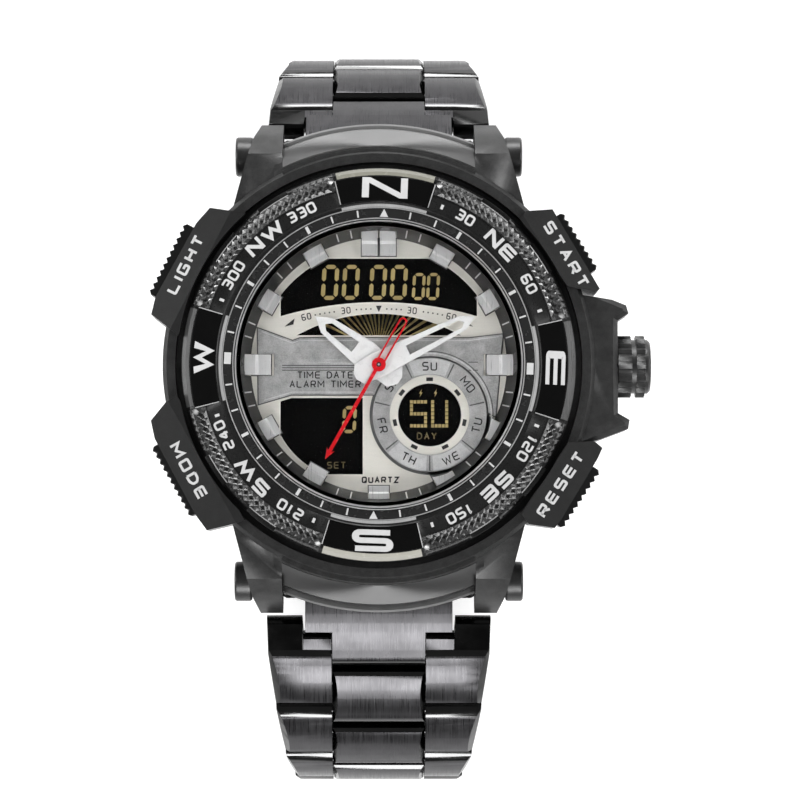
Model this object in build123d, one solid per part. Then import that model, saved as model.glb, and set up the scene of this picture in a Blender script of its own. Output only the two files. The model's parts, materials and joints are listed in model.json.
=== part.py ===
from build123d import *
import os
from math import atan2, cos, degrees, radians, sin

# Analogue-digital wristwatch on a three-row steel bracelet, closed in a loop that stands on its clasp.
# The dial faces +Z, 12 o'clock is +Y and the crown +X. The origin is the middle of the clasp's flat
# underside. The head is drawn about its own middle, with height zero at the case back's outer face.

# Driving sizes, in millimetres
LUG_WIDTH = 24.2
DIAL_RADIUS = 16.0
FLANGE_WIDTH = 1.45
CRYSTAL_OVERLAP = 0.2
CRYSTAL_GASKET_WALL = 0.2
NECK_WALL = 0.7
BEZEL_WIDTH = 6.0
BEZEL_POCKET_PLAY = 0.8
COLLAR_WALL = 1.6
BAND_BULGE = 2.4
CROWN_FACE_BULGE = 2.9
BAR_LEVEL = 3.0
BUTTON_LEVEL = 6.2

# Fits
RUNNING = 0.05
SIDE_GAP = 0.1
CLEAR = 0.15
OVERRUN = 1.0

# Radii of the head, worked outwards from the dial
FLANGE_RADIUS = DIAL_RADIUS + FLANGE_WIDTH
CAVITY_RADIUS = FLANGE_RADIUS + RUNNING
CRYSTAL_RADIUS = CAVITY_RADIUS + CRYSTAL_OVERLAP
CRYSTAL_SEAT_RADIUS = CRYSTAL_RADIUS + CRYSTAL_GASKET_WALL
NECK_RADIUS = CRYSTAL_SEAT_RADIUS + NECK_WALL
BEZEL_RADIUS = NECK_RADIUS + BEZEL_WIDTH
POCKET_RADIUS = BEZEL_RADIUS + BEZEL_POCKET_PLAY
COLLAR_RADIUS = POCKET_RADIUS + COLLAR_WALL
BAND_RADIUS = COLLAR_RADIUS + BAND_BULGE
CROWN_FACE = COLLAR_RADIUS + CROWN_FACE_BULGE
BAR_OFFSET = COLLAR_RADIUS

# Heights in the head, from the case back's outer face
BODY_LOW = 1.2
BACK_THICKNESS = 1.8
SHOULDER_LEVEL = 8.6
MODULE_TOP = 8.8
DIAL_LEVEL = 9.2
DIAL_THICKNESS = 0.4
COLLAR_TOP = 11.0
LEDGE_LEVEL = 12.2
LIP_THICKNESS = 0.4
NECK_TOP = 12.7
CRYSTAL_THICKNESS = 1.6
DIAL_TOP = DIAL_LEVEL + DIAL_THICKNESS

# Bracelet
LINK_PITCH = 8.5
LINK_ROWS = 7
LINK_THICKNESS = 3.4
CENTRE_WIDTH = 12.0
FIRST_WIDTH = 28.4
LAST_WIDTH = 20.0
LINK_CROWN = 0.3
END_LINK_LENGTH = 9.5
LINK_PIN_RADIUS = 0.6
BAR_RADIUS = 0.9
LOOP_DROP = 42.0
CASE_SHIFT = 10.0
HEADING_12 = 48.0
HEADING_6 = 18.0
HEADING_LAST = 174.0

# Clasp
CLASP_CHORD = 38.0
CLASP_PIN_LEVEL = 2.4
CLASP_SHEET = 0.8
BLADE_SHEET = 0.9


def slab(sketch, low, high):
    """A flat outline raised from one height to another."""
    return extrude(Pos(0, 0, low) * sketch, high - low, dir=(0, 0, 1))


def disc(radius, low, high):
    return slab(Circle(radius), low, high)


def ring(outer, inner, low, high):
    return slab(Circle(outer) - Circle(inner), low, high)


def block(x_range, y_range, z_range):
    """A box between two limits along each axis."""
    low = [limits[0] for limits in (x_range, y_range, z_range)]
    size = [limits[1] - limits[0] for limits in (x_range, y_range, z_range)]
    return Pos(*low) * Box(*size, align=(Align.MIN, Align.MIN, Align.MIN))


def rod_x(radius, start, end, bore=0):
    """A round bar along X, hollow when it has a bore."""
    section = Circle(radius) - Circle(bore) if bore else Circle(radius)
    return extrude(Plane.YZ.offset(start) * section, end - start, dir=(1, 0, 0))


def turned_profile(points, start=0, sweep=360):
    """A closed outline of (radius, height) points turned about the Z axis."""
    face = Plane.XZ * make_face(Polyline(*points, close=True))
    return Rot(0, 0, start) * revolve(face, Axis.Z, sweep)


def scaled(points, size):
    """Points given as shares of one size."""
    return [(x * size, y * size) for x, y in points]


def outline(points):
    return make_face(Polyline(*points, close=True))


def polar(radius, angle):
    return radius * cos(radians(angle)), radius * sin(radians(angle))


def joined(shapes):
    """All the shapes fused into one."""
    total = shapes[0]
    for shape in shapes[1:]:
        total = total + shape
    return total


# Case body
GASKET_MARGIN = 0.4
GASKET_WIDTH = 0.8
GASKET_DEPTH = 0.5
SCREW_MARGIN = 0.1
SCREW_RADIUS = 0.6
SCREW_HEAD_RADIUS = 1.1
SCREW_HEAD_HEIGHT = 0.8
SCREW_SINK = 0.1
SCREW_LENGTH = 3.2
SCREW_COUNT = 4
BACK_PLAY = 0.1
FOOT_WALL = 2.4
WAIST_LEVEL = 4.2
COLLAR_BEVEL = 0.5
LIP_WIDTH = 0.3
BAND_LOW = 5.2
BAND_HIGH = 10.2
BAND_ROOT_WALL = 0.5
BAR_ROOM = 2.0
LUG_REACH = 4.0
LUG_WALL = 3.9
HEAD_RADIUS = 2.5
HEAD_THICKNESS = 2.2
GASKET_INNER = CAVITY_RADIUS + GASKET_MARGIN
GASKET_OUTER = GASKET_INNER + GASKET_WIDTH
SCREW_PLACE_RADIUS = GASKET_OUTER + SCREW_MARGIN + SCREW_HEAD_RADIUS
BACK_RADIUS = SCREW_PLACE_RADIUS + SCREW_HEAD_RADIUS + SCREW_MARGIN
FOOT_RADIUS = BACK_RADIUS + FOOT_WALL
LIP_RADIUS = CAVITY_RADIUS - LIP_WIDTH
BAND_ROOT = POCKET_RADIUS + BAND_ROOT_WALL
BAR_RECESS = BAR_OFFSET - BAR_ROOM
LUG_TIP = BAR_OFFSET + LUG_REACH
HEAD_SEAT = LUG_WIDTH / 2 + LUG_WALL
HEAD_END = HEAD_SEAT + HEAD_THICKNESS

# The lug from the side, as shares of its tip's distance and of the collar's height
LUG_SIDE_SHARES = [
    (0.55, 0.14), (0.84, 0.05), (0.96, 0.06), (1.0, 0.17), (1.0, 0.33),
    (0.94, 0.62), (0.86, 0.86), (0.70, 0.93), (0.55, 0.93),
]
# The lug from above, past its inner face: (share of the lug's breadth, share of its tip's distance)
LUG_BREADTH = 6.3
LUG_PLAN_SHARES = [(0, 0.45), (1.25, 0.45), (1.0, 0.62), (0.6, 0.93), (0.4, 1.02), (0, 1.02)]

# The wing round the crown, as shares of the crown face's distance
WING_SHARES = [
    (0.80, 0.30), (0.975, 0.275), (1.035, 0.251), (1.046, 0.217), (1.0, 0.187),
    (1.0, -0.201), (1.048, -0.229), (1.042, -0.267), (0.925, -0.311), (0.80, -0.34),
]
WING_BEVEL_FROM_SHARE = 0.9
WING_LOW = 2.4
WING_HIGH = 10.4
WING_BEVEL = 0.6


def lug():
    side = [(y * LUG_TIP, z * COLLAR_TOP) for y, z in LUG_SIDE_SHARES]
    plan = [(LUG_WIDTH / 2 + x * LUG_BREADTH, y * LUG_TIP) for x, y in LUG_PLAN_SHARES]
    reach = LUG_WIDTH / 2 + 2 * LUG_BREADTH
    raised = extrude(Plane.YZ * outline(side), reach, dir=(1, 0, 0))
    return raised & slab(outline(plan), -OVERRUN, COLLAR_TOP)


def barrel_band():
    """The polished bulge between the lugs, above the end link."""
    low, high = (BAND_ROOT, BAND_LOW), (BAND_ROOT, BAND_HIGH)
    crest = (BAND_RADIUS, (BAND_LOW + BAND_HIGH) / 2)
    face = Plane.XZ * make_face([ThreePointArc(low, crest, high), Line(high, low)])
    half = LUG_WIDTH / 2 + OVERRUN
    return revolve(face, Axis.Z) & block((-half, half), (0, LUG_TIP), (0, COLLAR_TOP))


def crown_wing():
    wing = slab(outline(scaled(WING_SHARES, CROWN_FACE)), WING_LOW, WING_HIGH)
    bevel_from = WING_BEVEL_FROM_SHARE * CROWN_FACE
    top_edges = wing.edges().group_by(Axis.Z)[-1].filter_by(lambda edge: edge.center().X > bevel_from)
    return chamfer(top_edges, WING_BEVEL)


def body_outside():
    rim = turned_profile([
        (0, BODY_LOW), (FOOT_RADIUS, BODY_LOW), (COLLAR_RADIUS, WAIST_LEVEL),
        (COLLAR_RADIUS, COLLAR_TOP - COLLAR_BEVEL), (COLLAR_RADIUS - COLLAR_BEVEL, COLLAR_TOP),
        (0, COLLAR_TOP),
    ])
    corners = [Rot(0, 0, turn) * shape for turn in (0, 180) for shape in (lug(), mirror(lug(), Plane.YZ))]
    bands = [Rot(0, 0, turn) * barrel_band() for turn in (0, 180)]
    neck = disc(NECK_RADIUS, COLLAR_TOP - OVERRUN, NECK_TOP)
    return joined([rim, *corners, *bands, crown_wing(), neck])


def body_inside():
    """The stepped bore, from the case back's recess up to the crystal's seat."""
    return turned_profile([
        (0, -OVERRUN), (BACK_RADIUS + BACK_PLAY, -OVERRUN), (BACK_RADIUS + BACK_PLAY, BACK_THICKNESS),
        (CAVITY_RADIUS, BACK_THICKNESS), (CAVITY_RADIUS, LEDGE_LEVEL - LIP_THICKNESS),
        (LIP_RADIUS, LEDGE_LEVEL - LIP_THICKNESS), (LIP_RADIUS, LEDGE_LEVEL),
        (CRYSTAL_SEAT_RADIUS, LEDGE_LEVEL), (CRYSTAL_SEAT_RADIUS, NECK_TOP + OVERRUN),
        (0, NECK_TOP + OVERRUN),
    ])


def bar_recess():
    """Room under the band for the end link's barrel, with the bar's bore and the seats of its heads."""
    half = LUG_WIDTH / 2
    room = block((-half, half), (BAR_RECESS, LUG_TIP + OVERRUN), (-OVERRUN, BAND_LOW))
    bore = Pos(0, BAR_OFFSET, BAR_LEVEL) * rod_x(BAR_RADIUS, -HEAD_END, HEAD_END)
    seat = Pos(0, BAR_OFFSET, BAR_LEVEL) * rod_x(HEAD_RADIUS + CLEAR, HEAD_SEAT, HEAD_END + OVERRUN)
    return [room, bore, seat, mirror(seat, Plane.YZ)]


def screw_places():
    """The middle of each case back screw, between the axes."""
    step = 360 / SCREW_COUNT
    return [Pos(*polar(SCREW_PLACE_RADIUS, (turn + 1 / 2) * step)) for turn in range(SCREW_COUNT)]


def case_body():
    body = body_outside() - body_inside()
    body -= ring(POCKET_RADIUS, NECK_RADIUS, SHOULDER_LEVEL, COLLAR_TOP + OVERRUN)
    body -= ring(GASKET_OUTER, GASKET_INNER, BACK_THICKNESS, BACK_THICKNESS + GASKET_DEPTH)
    for turn in (0, 180):
        for tool in bar_recess():
            body -= Rot(0, 0, turn) * tool
    for place in screw_places():
        body -= place * disc(SCREW_RADIUS, BACK_THICKNESS, SCREW_SINK + SCREW_LENGTH)
    for button in BUTTONS:
        body -= at_button(button, button_bore())
    return body - crown_bore()


# Case back, its gasket and its screws
BACK_BEVEL = 0.5


def case_back():
    plate = disc(BACK_RADIUS, 0, BACK_THICKNESS)
    plate = chamfer(plate.edges().group_by(Axis.Z)[0], BACK_BEVEL)
    for place in screw_places():
        plate -= place * disc(SCREW_HEAD_RADIUS, -OVERRUN, SCREW_SINK + SCREW_HEAD_HEIGHT)
        plate -= place * disc(SCREW_RADIUS, 0, BACK_THICKNESS + OVERRUN)
    return plate


def case_back_gasket():
    return ring(GASKET_OUTER, GASKET_INNER, BACK_THICKNESS, BACK_THICKNESS + GASKET_DEPTH)


def case_back_screws():
    top = SCREW_SINK + SCREW_HEAD_HEIGHT
    screw = disc(SCREW_HEAD_RADIUS, SCREW_SINK, top) + disc(SCREW_RADIUS, top, SCREW_SINK + SCREW_LENGTH)
    return [place * screw for place in screw_places()]


def lug_bars():
    bar = rod_x(BAR_RADIUS, -HEAD_SEAT, HEAD_SEAT)
    head = rod_x(HEAD_RADIUS, HEAD_SEAT, HEAD_END)
    bar = bar + head + mirror(head, Plane.YZ)
    return [Pos(0, side * BAR_OFFSET, BAR_LEVEL) * bar for side in (1, -1)]


# Knurled collars on the bars, between the end links and the lugs
SPACER_RADIUS = 1.9
SPACER_LENGTH = 2.7
END_LINK_WIDTH = LUG_WIDTH - 2 * (SPACER_LENGTH + SIDE_GAP)


def lug_spacers():
    collar = rod_x(SPACER_RADIUS, LUG_WIDTH / 2 - SPACER_LENGTH, LUG_WIDTH / 2, BAR_RADIUS)
    pair = [collar, mirror(collar, Plane.YZ)]
    return [Pos(0, side * BAR_OFFSET, BAR_LEVEL) * shape for side in (1, -1) for shape in pair]


# Push buttons: name, direction from the dial's centre in degrees, and length of the toothed grip
LEFT_GRIP_LENGTH = 10.0
START_GRIP_LENGTH = 8.4
RESET_GRIP_LENGTH = 8.6
LIGHT_ANGLE = 153.0
MODE_ANGLE = 209.3
START_ANGLE = 32.0
RESET_ANGLE = -33.5
BUTTONS = [
    ("light", LIGHT_ANGLE, LEFT_GRIP_LENGTH), ("mode", MODE_ANGLE, LEFT_GRIP_LENGTH),
    ("start", START_ANGLE, START_GRIP_LENGTH), ("reset", RESET_ANGLE, RESET_GRIP_LENGTH),
]
BUTTON_GAP = 1.2
BUTTON_DEPTH = 1.6
TOOTH_DEPTH = 0.8
TOOTH_PITCH = 0.95
BUTTON_HEIGHT = 3.7
BUTTON_TRAVEL = 0.8
STEM_INSIDE_LENGTH = 1.4
STEM_RADIUS = 0.75
SPRING_RADIUS = 1.4
SPRING_BORE = 0.9
SPRING_LENGTH = 2.5
SEAL_RADIUS = 1.3
SEAL_WIDTH = 0.8
SEAL_WALL = 3.1
BUTTON_FACE = COLLAR_RADIUS + BUTTON_GAP
BUTTON_TIP = BUTTON_FACE + BUTTON_DEPTH
BUTTON_END = LIP_RADIUS + STEM_INSIDE_LENGTH
SPRING_SEAT = COLLAR_RADIUS - SPRING_LENGTH
SEAL_START = CAVITY_RADIUS + SEAL_WALL

# Corner guards over the buttons, as shares of the collar's radius
GUARD_SHARES = {
    "light": [(-0.616, 0.697), (-0.925, 0.132), (-1.051, 0.231), (-1.032, 0.312), (-0.843, 0.656),
              (-0.781, 0.725)],
    "mode": [(-0.982, -0.178), (-0.929, -0.146), (-0.616, -0.720), (-0.690, -0.741), (-0.791, -0.765),
             (-0.844, -0.694), (-1.033, -0.343), (-1.051, -0.260)],
    "start": [(0.681, 0.708), (0.653, 0.671), (0.870, 0.359), (1.007, 0.335), (1.021, 0.350),
              (0.804, 0.719)],
    "reset": [(0.993, -0.355), (0.870, -0.362), (0.653, -0.688), (0.691, -0.7375), (0.811, -0.754),
              (0.842, -0.712), (1.007, -0.4375), (1.031, -0.386)],
}
GUARD_LOW = 3.0
GUARD_TOP = 12.3
GUARD_PLAY = 0.5
GUARD_SLOPE_ANGLE = 14.0
GUARD_INNER = BEZEL_RADIUS + GUARD_PLAY


def at_button(button, shape):
    """Put a shape drawn along +X at its button's place."""
    return Rot(0, 0, button[1]) * Pos(0, 0, BUTTON_LEVEL) * shape


def button_bore():
    bore = rod_x(STEM_RADIUS + RUNNING, LIP_RADIUS, COLLAR_RADIUS + OVERRUN)
    spring_room = rod_x(SPRING_RADIUS, SPRING_SEAT, COLLAR_RADIUS + OVERRUN)
    seal_room = rod_x(SEAL_RADIUS, SEAL_START, SEAL_START + SEAL_WIDTH)
    return bore + spring_room + seal_room


def push_button(length):
    """A toothed slab on a stem, along +X."""
    teeth = round(length / TOOTH_PITCH)
    pitch = length / teeth
    root = BUTTON_TIP - TOOTH_DEPTH
    points = [(BUTTON_FACE, length / 2), (BUTTON_FACE, -length / 2)]
    for tooth in range(teeth):
        start = tooth * pitch - length / 2
        points += [(root, start), (BUTTON_TIP, start + pitch / 2)]
    points.append((root, length / 2))
    slab_part = slab(outline(points), -BUTTON_HEIGHT / 2, BUTTON_HEIGHT / 2)
    return slab_part + rod_x(STEM_RADIUS, BUTTON_END, BUTTON_FACE)


def pusher_guard(button, body):
    """A corner guard: flat top sloping outwards, a pocket for the button, seated on the case."""
    name, angle, length = button
    points = scaled(GUARD_SHARES[name], COLLAR_RADIUS)
    guard = slab(outline(points), GUARD_LOW, GUARD_TOP)
    slope = Rot(0, 0, angle) * Pos(GUARD_INNER, 0, GUARD_TOP) * Rot(0, GUARD_SLOPE_ANGLE, 0)
    guard = split(guard, Plane(slope.position, z_dir=slope.z_axis.direction), keep=Keep.BOTTOM)
    guard -= disc(GUARD_INNER, 0, GUARD_TOP + OVERRUN) + disc(COLLAR_RADIUS, 0, COLLAR_TOP)
    half_y = length / 2 + CLEAR
    half_z = BUTTON_HEIGHT / 2 + CLEAR
    pocket = block((GUARD_INNER, BUTTON_TIP + OVERRUN), (-half_y, half_y), (-half_z, half_z))
    return guard - at_button(button, pocket) - body


def pusher_guards(body):
    return [pusher_guard(button, body) for button in BUTTONS]


def button_springs():
    spring = rod_x(SPRING_RADIUS, SPRING_SEAT, COLLAR_RADIUS, SPRING_BORE)
    return [at_button(button, spring) for button in BUTTONS]


def button_gaskets():
    seal = rod_x(SEAL_RADIUS, SEAL_START, SEAL_START + SEAL_WIDTH, STEM_RADIUS + RUNNING)
    return [at_button(button, seal) for button in BUTTONS]


# Crown, stem, tube and seal, along +X
CROWN_RADIUS = 3.9
CROWN_WAIST_RADIUS = 3.4
CROWN_TEETH = 24
CROWN_TOOTH_DEPTH = 0.35
CROWN_KNURL_LENGTH = 1.7
CROWN_WAIST_LENGTH = 0.6
CROWN_OUTER_LENGTH = 1.1
CROWN_CAP_LENGTH = 0.7
CROWN_CAP_BEVEL = 0.3
CROWN_TRAVEL = 1.0
CROWN_SINK = 1.5
STEM_CORE_RADIUS = 0.6
STEM_DEPTH = 3.0
TUBE_RADIUS = 1.4
TUBE_BORE = 0.95
TUBE_WALL = 1.5
CROWN_SEAL_DEPTH = 3.0
CROWN_SEAL_WIDTH = 0.8
CROWN_START = CROWN_FACE + SIDE_GAP
TUBE_START = CAVITY_RADIUS + TUBE_WALL
CROWN_SEAL_START = TUBE_START + CROWN_SEAL_DEPTH


def crown_bore():
    tube_hole = rod_x(TUBE_RADIUS, TUBE_START, CROWN_FACE + OVERRUN)
    return at_crown(tube_hole + rod_x(TUBE_BORE, LIP_RADIUS, TUBE_START))


def at_crown(shape):
    return Pos(0, 0, BUTTON_LEVEL) * shape


def toothed_rod(start, end):
    """A straight-knurled length of the crown."""
    points = []
    for tooth in range(2 * CROWN_TEETH):
        radius = CROWN_RADIUS - CROWN_TOOTH_DEPTH * (tooth % 2)
        points.append(polar(radius, 180 * tooth / CROWN_TEETH))
    return extrude(Plane.YZ.offset(start) * outline(points), end - start, dir=(1, 0, 0))


def crown():
    first_end = CROWN_START + CROWN_KNURL_LENGTH
    second_start = first_end + CROWN_WAIST_LENGTH
    second_end = second_start + CROWN_OUTER_LENGTH
    cap = rod_x(CROWN_WAIST_RADIUS, second_end, second_end + CROWN_CAP_LENGTH)
    cap = chamfer(cap.edges().group_by(Axis.X)[-1], CROWN_CAP_BEVEL)
    waist = rod_x(CROWN_WAIST_RADIUS, first_end, second_start)
    knob = joined([toothed_rod(CROWN_START, first_end), waist, toothed_rod(second_start, second_end), cap])
    return at_crown(knob - rod_x(STEM_CORE_RADIUS, CROWN_START - OVERRUN, CROWN_START + CROWN_SINK))


def crown_stem():
    return at_crown(rod_x(STEM_CORE_RADIUS, STEM_INNER, CROWN_START + CROWN_SINK))


def crown_tube():
    return at_crown(rod_x(TUBE_RADIUS, TUBE_START, CROWN_FACE, TUBE_BORE))


def crown_seal():
    end = CROWN_SEAL_START + CROWN_SEAL_WIDTH
    return at_crown(rod_x(TUBE_BORE - RUNNING, CROWN_SEAL_START, end, STEM_CORE_RADIUS + RUNNING))


# Turning bezel
BEZEL_TURN = -2.0
BEZEL_LOW = 8.9
BEZEL_SIDE_TOP = 11.5
BEZEL_EDGE_WIDTH = 0.5
BAND_OUTER_LEVEL = 12.2
BAND_INNER_LEVEL = 13.1
TICK_WIDTH = 1.45
RIM_WIDTH = 0.4
RIM_SLOPE_WIDTH = 0.2
RIM_LEVEL = 13.35
TICK_SEAT_LEVEL = 12.85
TICK_OUTER_LEVEL = 13.25
TICK_INNER_LEVEL = 13.05
TILE_MARGIN = 0.2
LIGHT_STRIP_WIDTH = 0.6
TILE_ANGLE = 31.0
TILE_DEPTH = 0.6
TILE_PROUD = 0.1
KNURL_WIDTH = 2.0
KNURL_PROUD = 0.1
SLOT_DEPTH = 1.2
SLOT_FLOOR_LEVEL = 11.6
SLOT_ANGLE = 10.0
SLOT_PLACE_SHARES = [1 / 3, 2 / 3]
CLICK_RING_PLAY = 1.9
CLICK_RING_WIDTH = 2.0
BEZEL_BORE = NECK_RADIUS + 2 * RUNNING
BAND_OUTER = BEZEL_RADIUS - BEZEL_EDGE_WIDTH
TICK_INNER = CRYSTAL_SEAT_RADIUS + CLEAR
TICK_OUTER = TICK_INNER + TICK_WIDTH
INNER_RIM = TICK_OUTER + RIM_WIDTH
BAND_INNER = INNER_RIM + RIM_SLOPE_WIDTH
TILE_INNER = BAND_INNER + TILE_MARGIN
TILE_OUTER = BAND_OUTER - LIGHT_STRIP_WIDTH
KNURL_INNER = BAND_OUTER - KNURL_WIDTH
SLOT_INNER = BEZEL_RADIUS - SLOT_DEPTH
CLICK_INNER = NECK_RADIUS + CLICK_RING_PLAY
CLICK_OUTER = CLICK_INNER + CLICK_RING_WIDTH


def band_level(radius):
    """Height of the sloping number band at a radius."""
    share = (radius - BAND_INNER) / (BAND_OUTER - BAND_INNER)
    return BAND_INNER_LEVEL + share * (BAND_OUTER_LEVEL - BAND_INNER_LEVEL)


def band_slice(inner, outer, below, above, start, sweep):
    """Part of a ring that follows the number band's slope."""
    points = [
        (inner, band_level(inner) - below), (outer, band_level(outer) - below),
        (outer, band_level(outer) + above), (inner, band_level(inner) + above),
    ]
    return turned_profile(points, start, sweep)


def tile_starts():
    return [90 * quarter - TILE_ANGLE / 2 + BEZEL_TURN for quarter in range(4)]


def tile_cut(above):
    return [band_slice(TILE_INNER, TILE_OUTER, TILE_DEPTH, above, start, TILE_ANGLE) for start in tile_starts()]


def bezel_ring():
    body = turned_profile([
        (BEZEL_BORE, BEZEL_LOW), (BEZEL_RADIUS, BEZEL_LOW), (BEZEL_RADIUS, BEZEL_SIDE_TOP),
        (BAND_OUTER, BAND_OUTER_LEVEL), (BAND_INNER, BAND_INNER_LEVEL), (INNER_RIM, RIM_LEVEL),
        (TICK_OUTER, RIM_LEVEL), (TICK_OUTER, TICK_SEAT_LEVEL), (BEZEL_BORE, TICK_SEAT_LEVEL),
    ])
    knurled_sweep = 90 - TILE_ANGLE
    slot_angles = [TILE_ANGLE / 2 + share * knurled_sweep for share in SLOT_PLACE_SHARES]
    for start in tile_starts():
        first = start + TILE_ANGLE
        body += band_slice(KNURL_INNER, BAND_OUTER, TILE_DEPTH, KNURL_PROUD, first, knurled_sweep)
        for angle in slot_angles:
            middle = start + TILE_ANGLE / 2 + angle
            points = [(SLOT_INNER, SLOT_FLOOR_LEVEL), (BEZEL_RADIUS + OVERRUN, SLOT_FLOOR_LEVEL),
                      (BEZEL_RADIUS + OVERRUN, NECK_TOP + OVERRUN), (SLOT_INNER, NECK_TOP + OVERRUN)]
            body -= turned_profile(points, middle - SLOT_ANGLE / 2, SLOT_ANGLE)
    for tile in tile_cut(OVERRUN):
        body -= tile
    return body


def bezel_tick_ring():
    return turned_profile([
        (TICK_INNER, TICK_SEAT_LEVEL), (TICK_OUTER, TICK_SEAT_LEVEL), (TICK_OUTER, TICK_OUTER_LEVEL),
        (TICK_INNER, TICK_INNER_LEVEL),
    ])


def bezel_click_ring():
    return ring(CLICK_OUTER, CLICK_INNER, SHOULDER_LEVEL, BEZEL_LOW - SIDE_GAP)


# Crystal, gasket and inner flange
CRYSTAL_BEVEL = 0.35
CRYSTAL_GASKET_TOP = 12.95
FLANGE_TOP = LEDGE_LEVEL - LIP_THICKNESS


def crystal():
    glass = disc(CRYSTAL_RADIUS, LEDGE_LEVEL, LEDGE_LEVEL + CRYSTAL_THICKNESS)
    return chamfer(glass.edges().group_by(Axis.Z)[-1], CRYSTAL_BEVEL)


def crystal_gasket():
    return ring(CRYSTAL_SEAT_RADIUS, CRYSTAL_RADIUS, LEDGE_LEVEL, CRYSTAL_GASKET_TOP)


def inner_flange():
    flange = turned_profile([
        (DIAL_RADIUS, DIAL_TOP), (FLANGE_RADIUS, DIAL_TOP), (FLANGE_RADIUS, FLANGE_TOP),
        (LIP_RADIUS, FLANGE_TOP),
    ])
    for marker in hour_markers(SIDE_GAP):
        flange -= marker
    return flange


# Dial: outlines are shares of the dial's visible radius, measured from its middle
SUBDIAL_PLACE_SHARES = (0.397, -0.389)
SUBDIAL_WINDOW_SHARE = 0.246
SUBDIAL_INNER_SHARE = 0.3125
SUBDIAL_OUTER_SHARE = 0.445
SUBDIAL_RIM_SHARE = 0.46
UPPER_WINDOW_SHARES = [
    (-0.412, 0.841), (-0.62, 0.71), (-0.773, 0.551), (-0.773, 0.376), (0, 0.488),
    (0.773, 0.376), (0.773, 0.551), (0.62, 0.71), (0.419, 0.841),
]
RAY_WINDOW_SHARES = [(-0.655, 0.23), (0, 0.408), (0.655, 0.23)]
LOWER_WINDOW_SHARES = [
    (-0.773, -0.280), (-0.683, -0.252), (-0.120, -0.252), (-0.120, -0.859), (-0.420, -0.859),
    (-0.62, -0.74), (-0.773, -0.543),
]
BRIDGE_SHARES = [
    (-0.946, 0.2875), (-0.675, 0.189), (-0.617, 0.210), (0.706, 0.210), (0.9695, 0.240),
    (0.912, -0.403), (0.854, -0.370), (0.397, -0.389), (-0.042, -0.230), (-0.683, -0.230),
    (-0.938, -0.305),
]
BRIDGE_THICKNESS = 0.35
RIDGE_SHARES = ((-0.62, -0.19), (0.015, 0.045))
RIDGE_HEIGHT = 0.12
WEEK_RING_THICKNESS = 0.45
WEEK_LIP_THICKNESS = 0.2
PIPE_PLAY = 0.3
PANEL_MARGIN = 0.6
PANEL_GAP = 0.3
MARKER_OVERHANG = 2.1
MARKER_SINK = 0.35
LONG_MARKER_EXTRA = 0.7
MARKER_WIDTH = 2.5
MARKER_HEIGHT = 1.3
MARKER_STEP = 0.35
MARKER_STEP_SHARE = 0.42
MARKER_BEVEL = 0.15
TWELVE_WIDTH = 4.25
TWELVE_SPLIT = 0.3
HOUR_PIPE_RADIUS = 0.9
DIAL_HUB_BORE = HOUR_PIPE_RADIUS + PIPE_PLAY
MARKER_INNER = DIAL_RADIUS - MARKER_OVERHANG
MARKER_OUTER = FLANGE_RADIUS - MARKER_SINK
LONG_MARKER_INNER = MARKER_INNER - LONG_MARKER_EXTRA


def subdial(shape):
    x, y = SUBDIAL_PLACE_SHARES
    return Pos(x * DIAL_RADIUS, y * DIAL_RADIUS) * shape


def upper_window():
    top_left, left_bend, left_high, left_low, sill, right_low, right_high, right_bend, top_right = scaled(
        UPPER_WINDOW_SHARES, DIAL_RADIUS)
    return make_face([
        Line(top_right, top_left), ThreePointArc(top_left, left_bend, left_high), Line(left_high, left_low),
        ThreePointArc(left_low, sill, right_low), Line(right_low, right_high),
        ThreePointArc(right_high, right_bend, top_right),
    ])


def ray_window():
    left, crest, right = scaled(RAY_WINDOW_SHARES, DIAL_RADIUS)
    return make_face([ThreePointArc(left, crest, right), Line(right, left)])


def lower_window():
    points = scaled(LOWER_WINDOW_SHARES, DIAL_RADIUS)
    return make_face([Polyline(*points[-1:], *points[:5]), ThreePointArc(points[4], points[5], points[6])])


def week_window():
    return subdial(Circle(SUBDIAL_WINDOW_SHARE * DIAL_RADIUS))


def dial_plate():
    face = Circle(FLANGE_RADIUS) - upper_window() - ray_window() - lower_window() - week_window()
    return slab(face - Circle(DIAL_HUB_BORE), DIAL_LEVEL, DIAL_TOP)


def lcd_panels():
    """Display glass under the windows, each wider than its window by a margin."""
    hub = Circle(DIAL_HUB_BORE + PANEL_GAP)
    module = Circle(MODULE_RADIUS)
    upper = offset(upper_window(), PANEL_MARGIN) + offset(ray_window(), PANEL_MARGIN)
    round_panel = subdial(Circle(SUBDIAL_WINDOW_SHARE * DIAL_RADIUS + PANEL_MARGIN))
    lower = offset(lower_window(), PANEL_MARGIN)
    return [slab((face - hub) & module, MODULE_TOP, DIAL_LEVEL) for face in (upper, lower, round_panel)]


def marker_block(inner, width, grow):
    """One applied hour block, lower at its inner end, drawn at 12 o'clock."""
    half = width / 2 + grow
    step = MARKER_INNER + MARKER_STEP_SHARE * (MARKER_OUTER - MARKER_INNER)
    top = DIAL_TOP + MARKER_HEIGHT
    profile = [
        (inner - grow, DIAL_TOP), (MARKER_OUTER + grow, DIAL_TOP), (MARKER_OUTER + grow, top + grow),
        (step, top + grow), (step - MARKER_STEP, top - MARKER_STEP), (inner - grow, top - MARKER_STEP),
    ]
    return Pos(-half, 0) * extrude(Plane.YZ * outline(profile), 2 * half, dir=(1, 0, 0))


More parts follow.
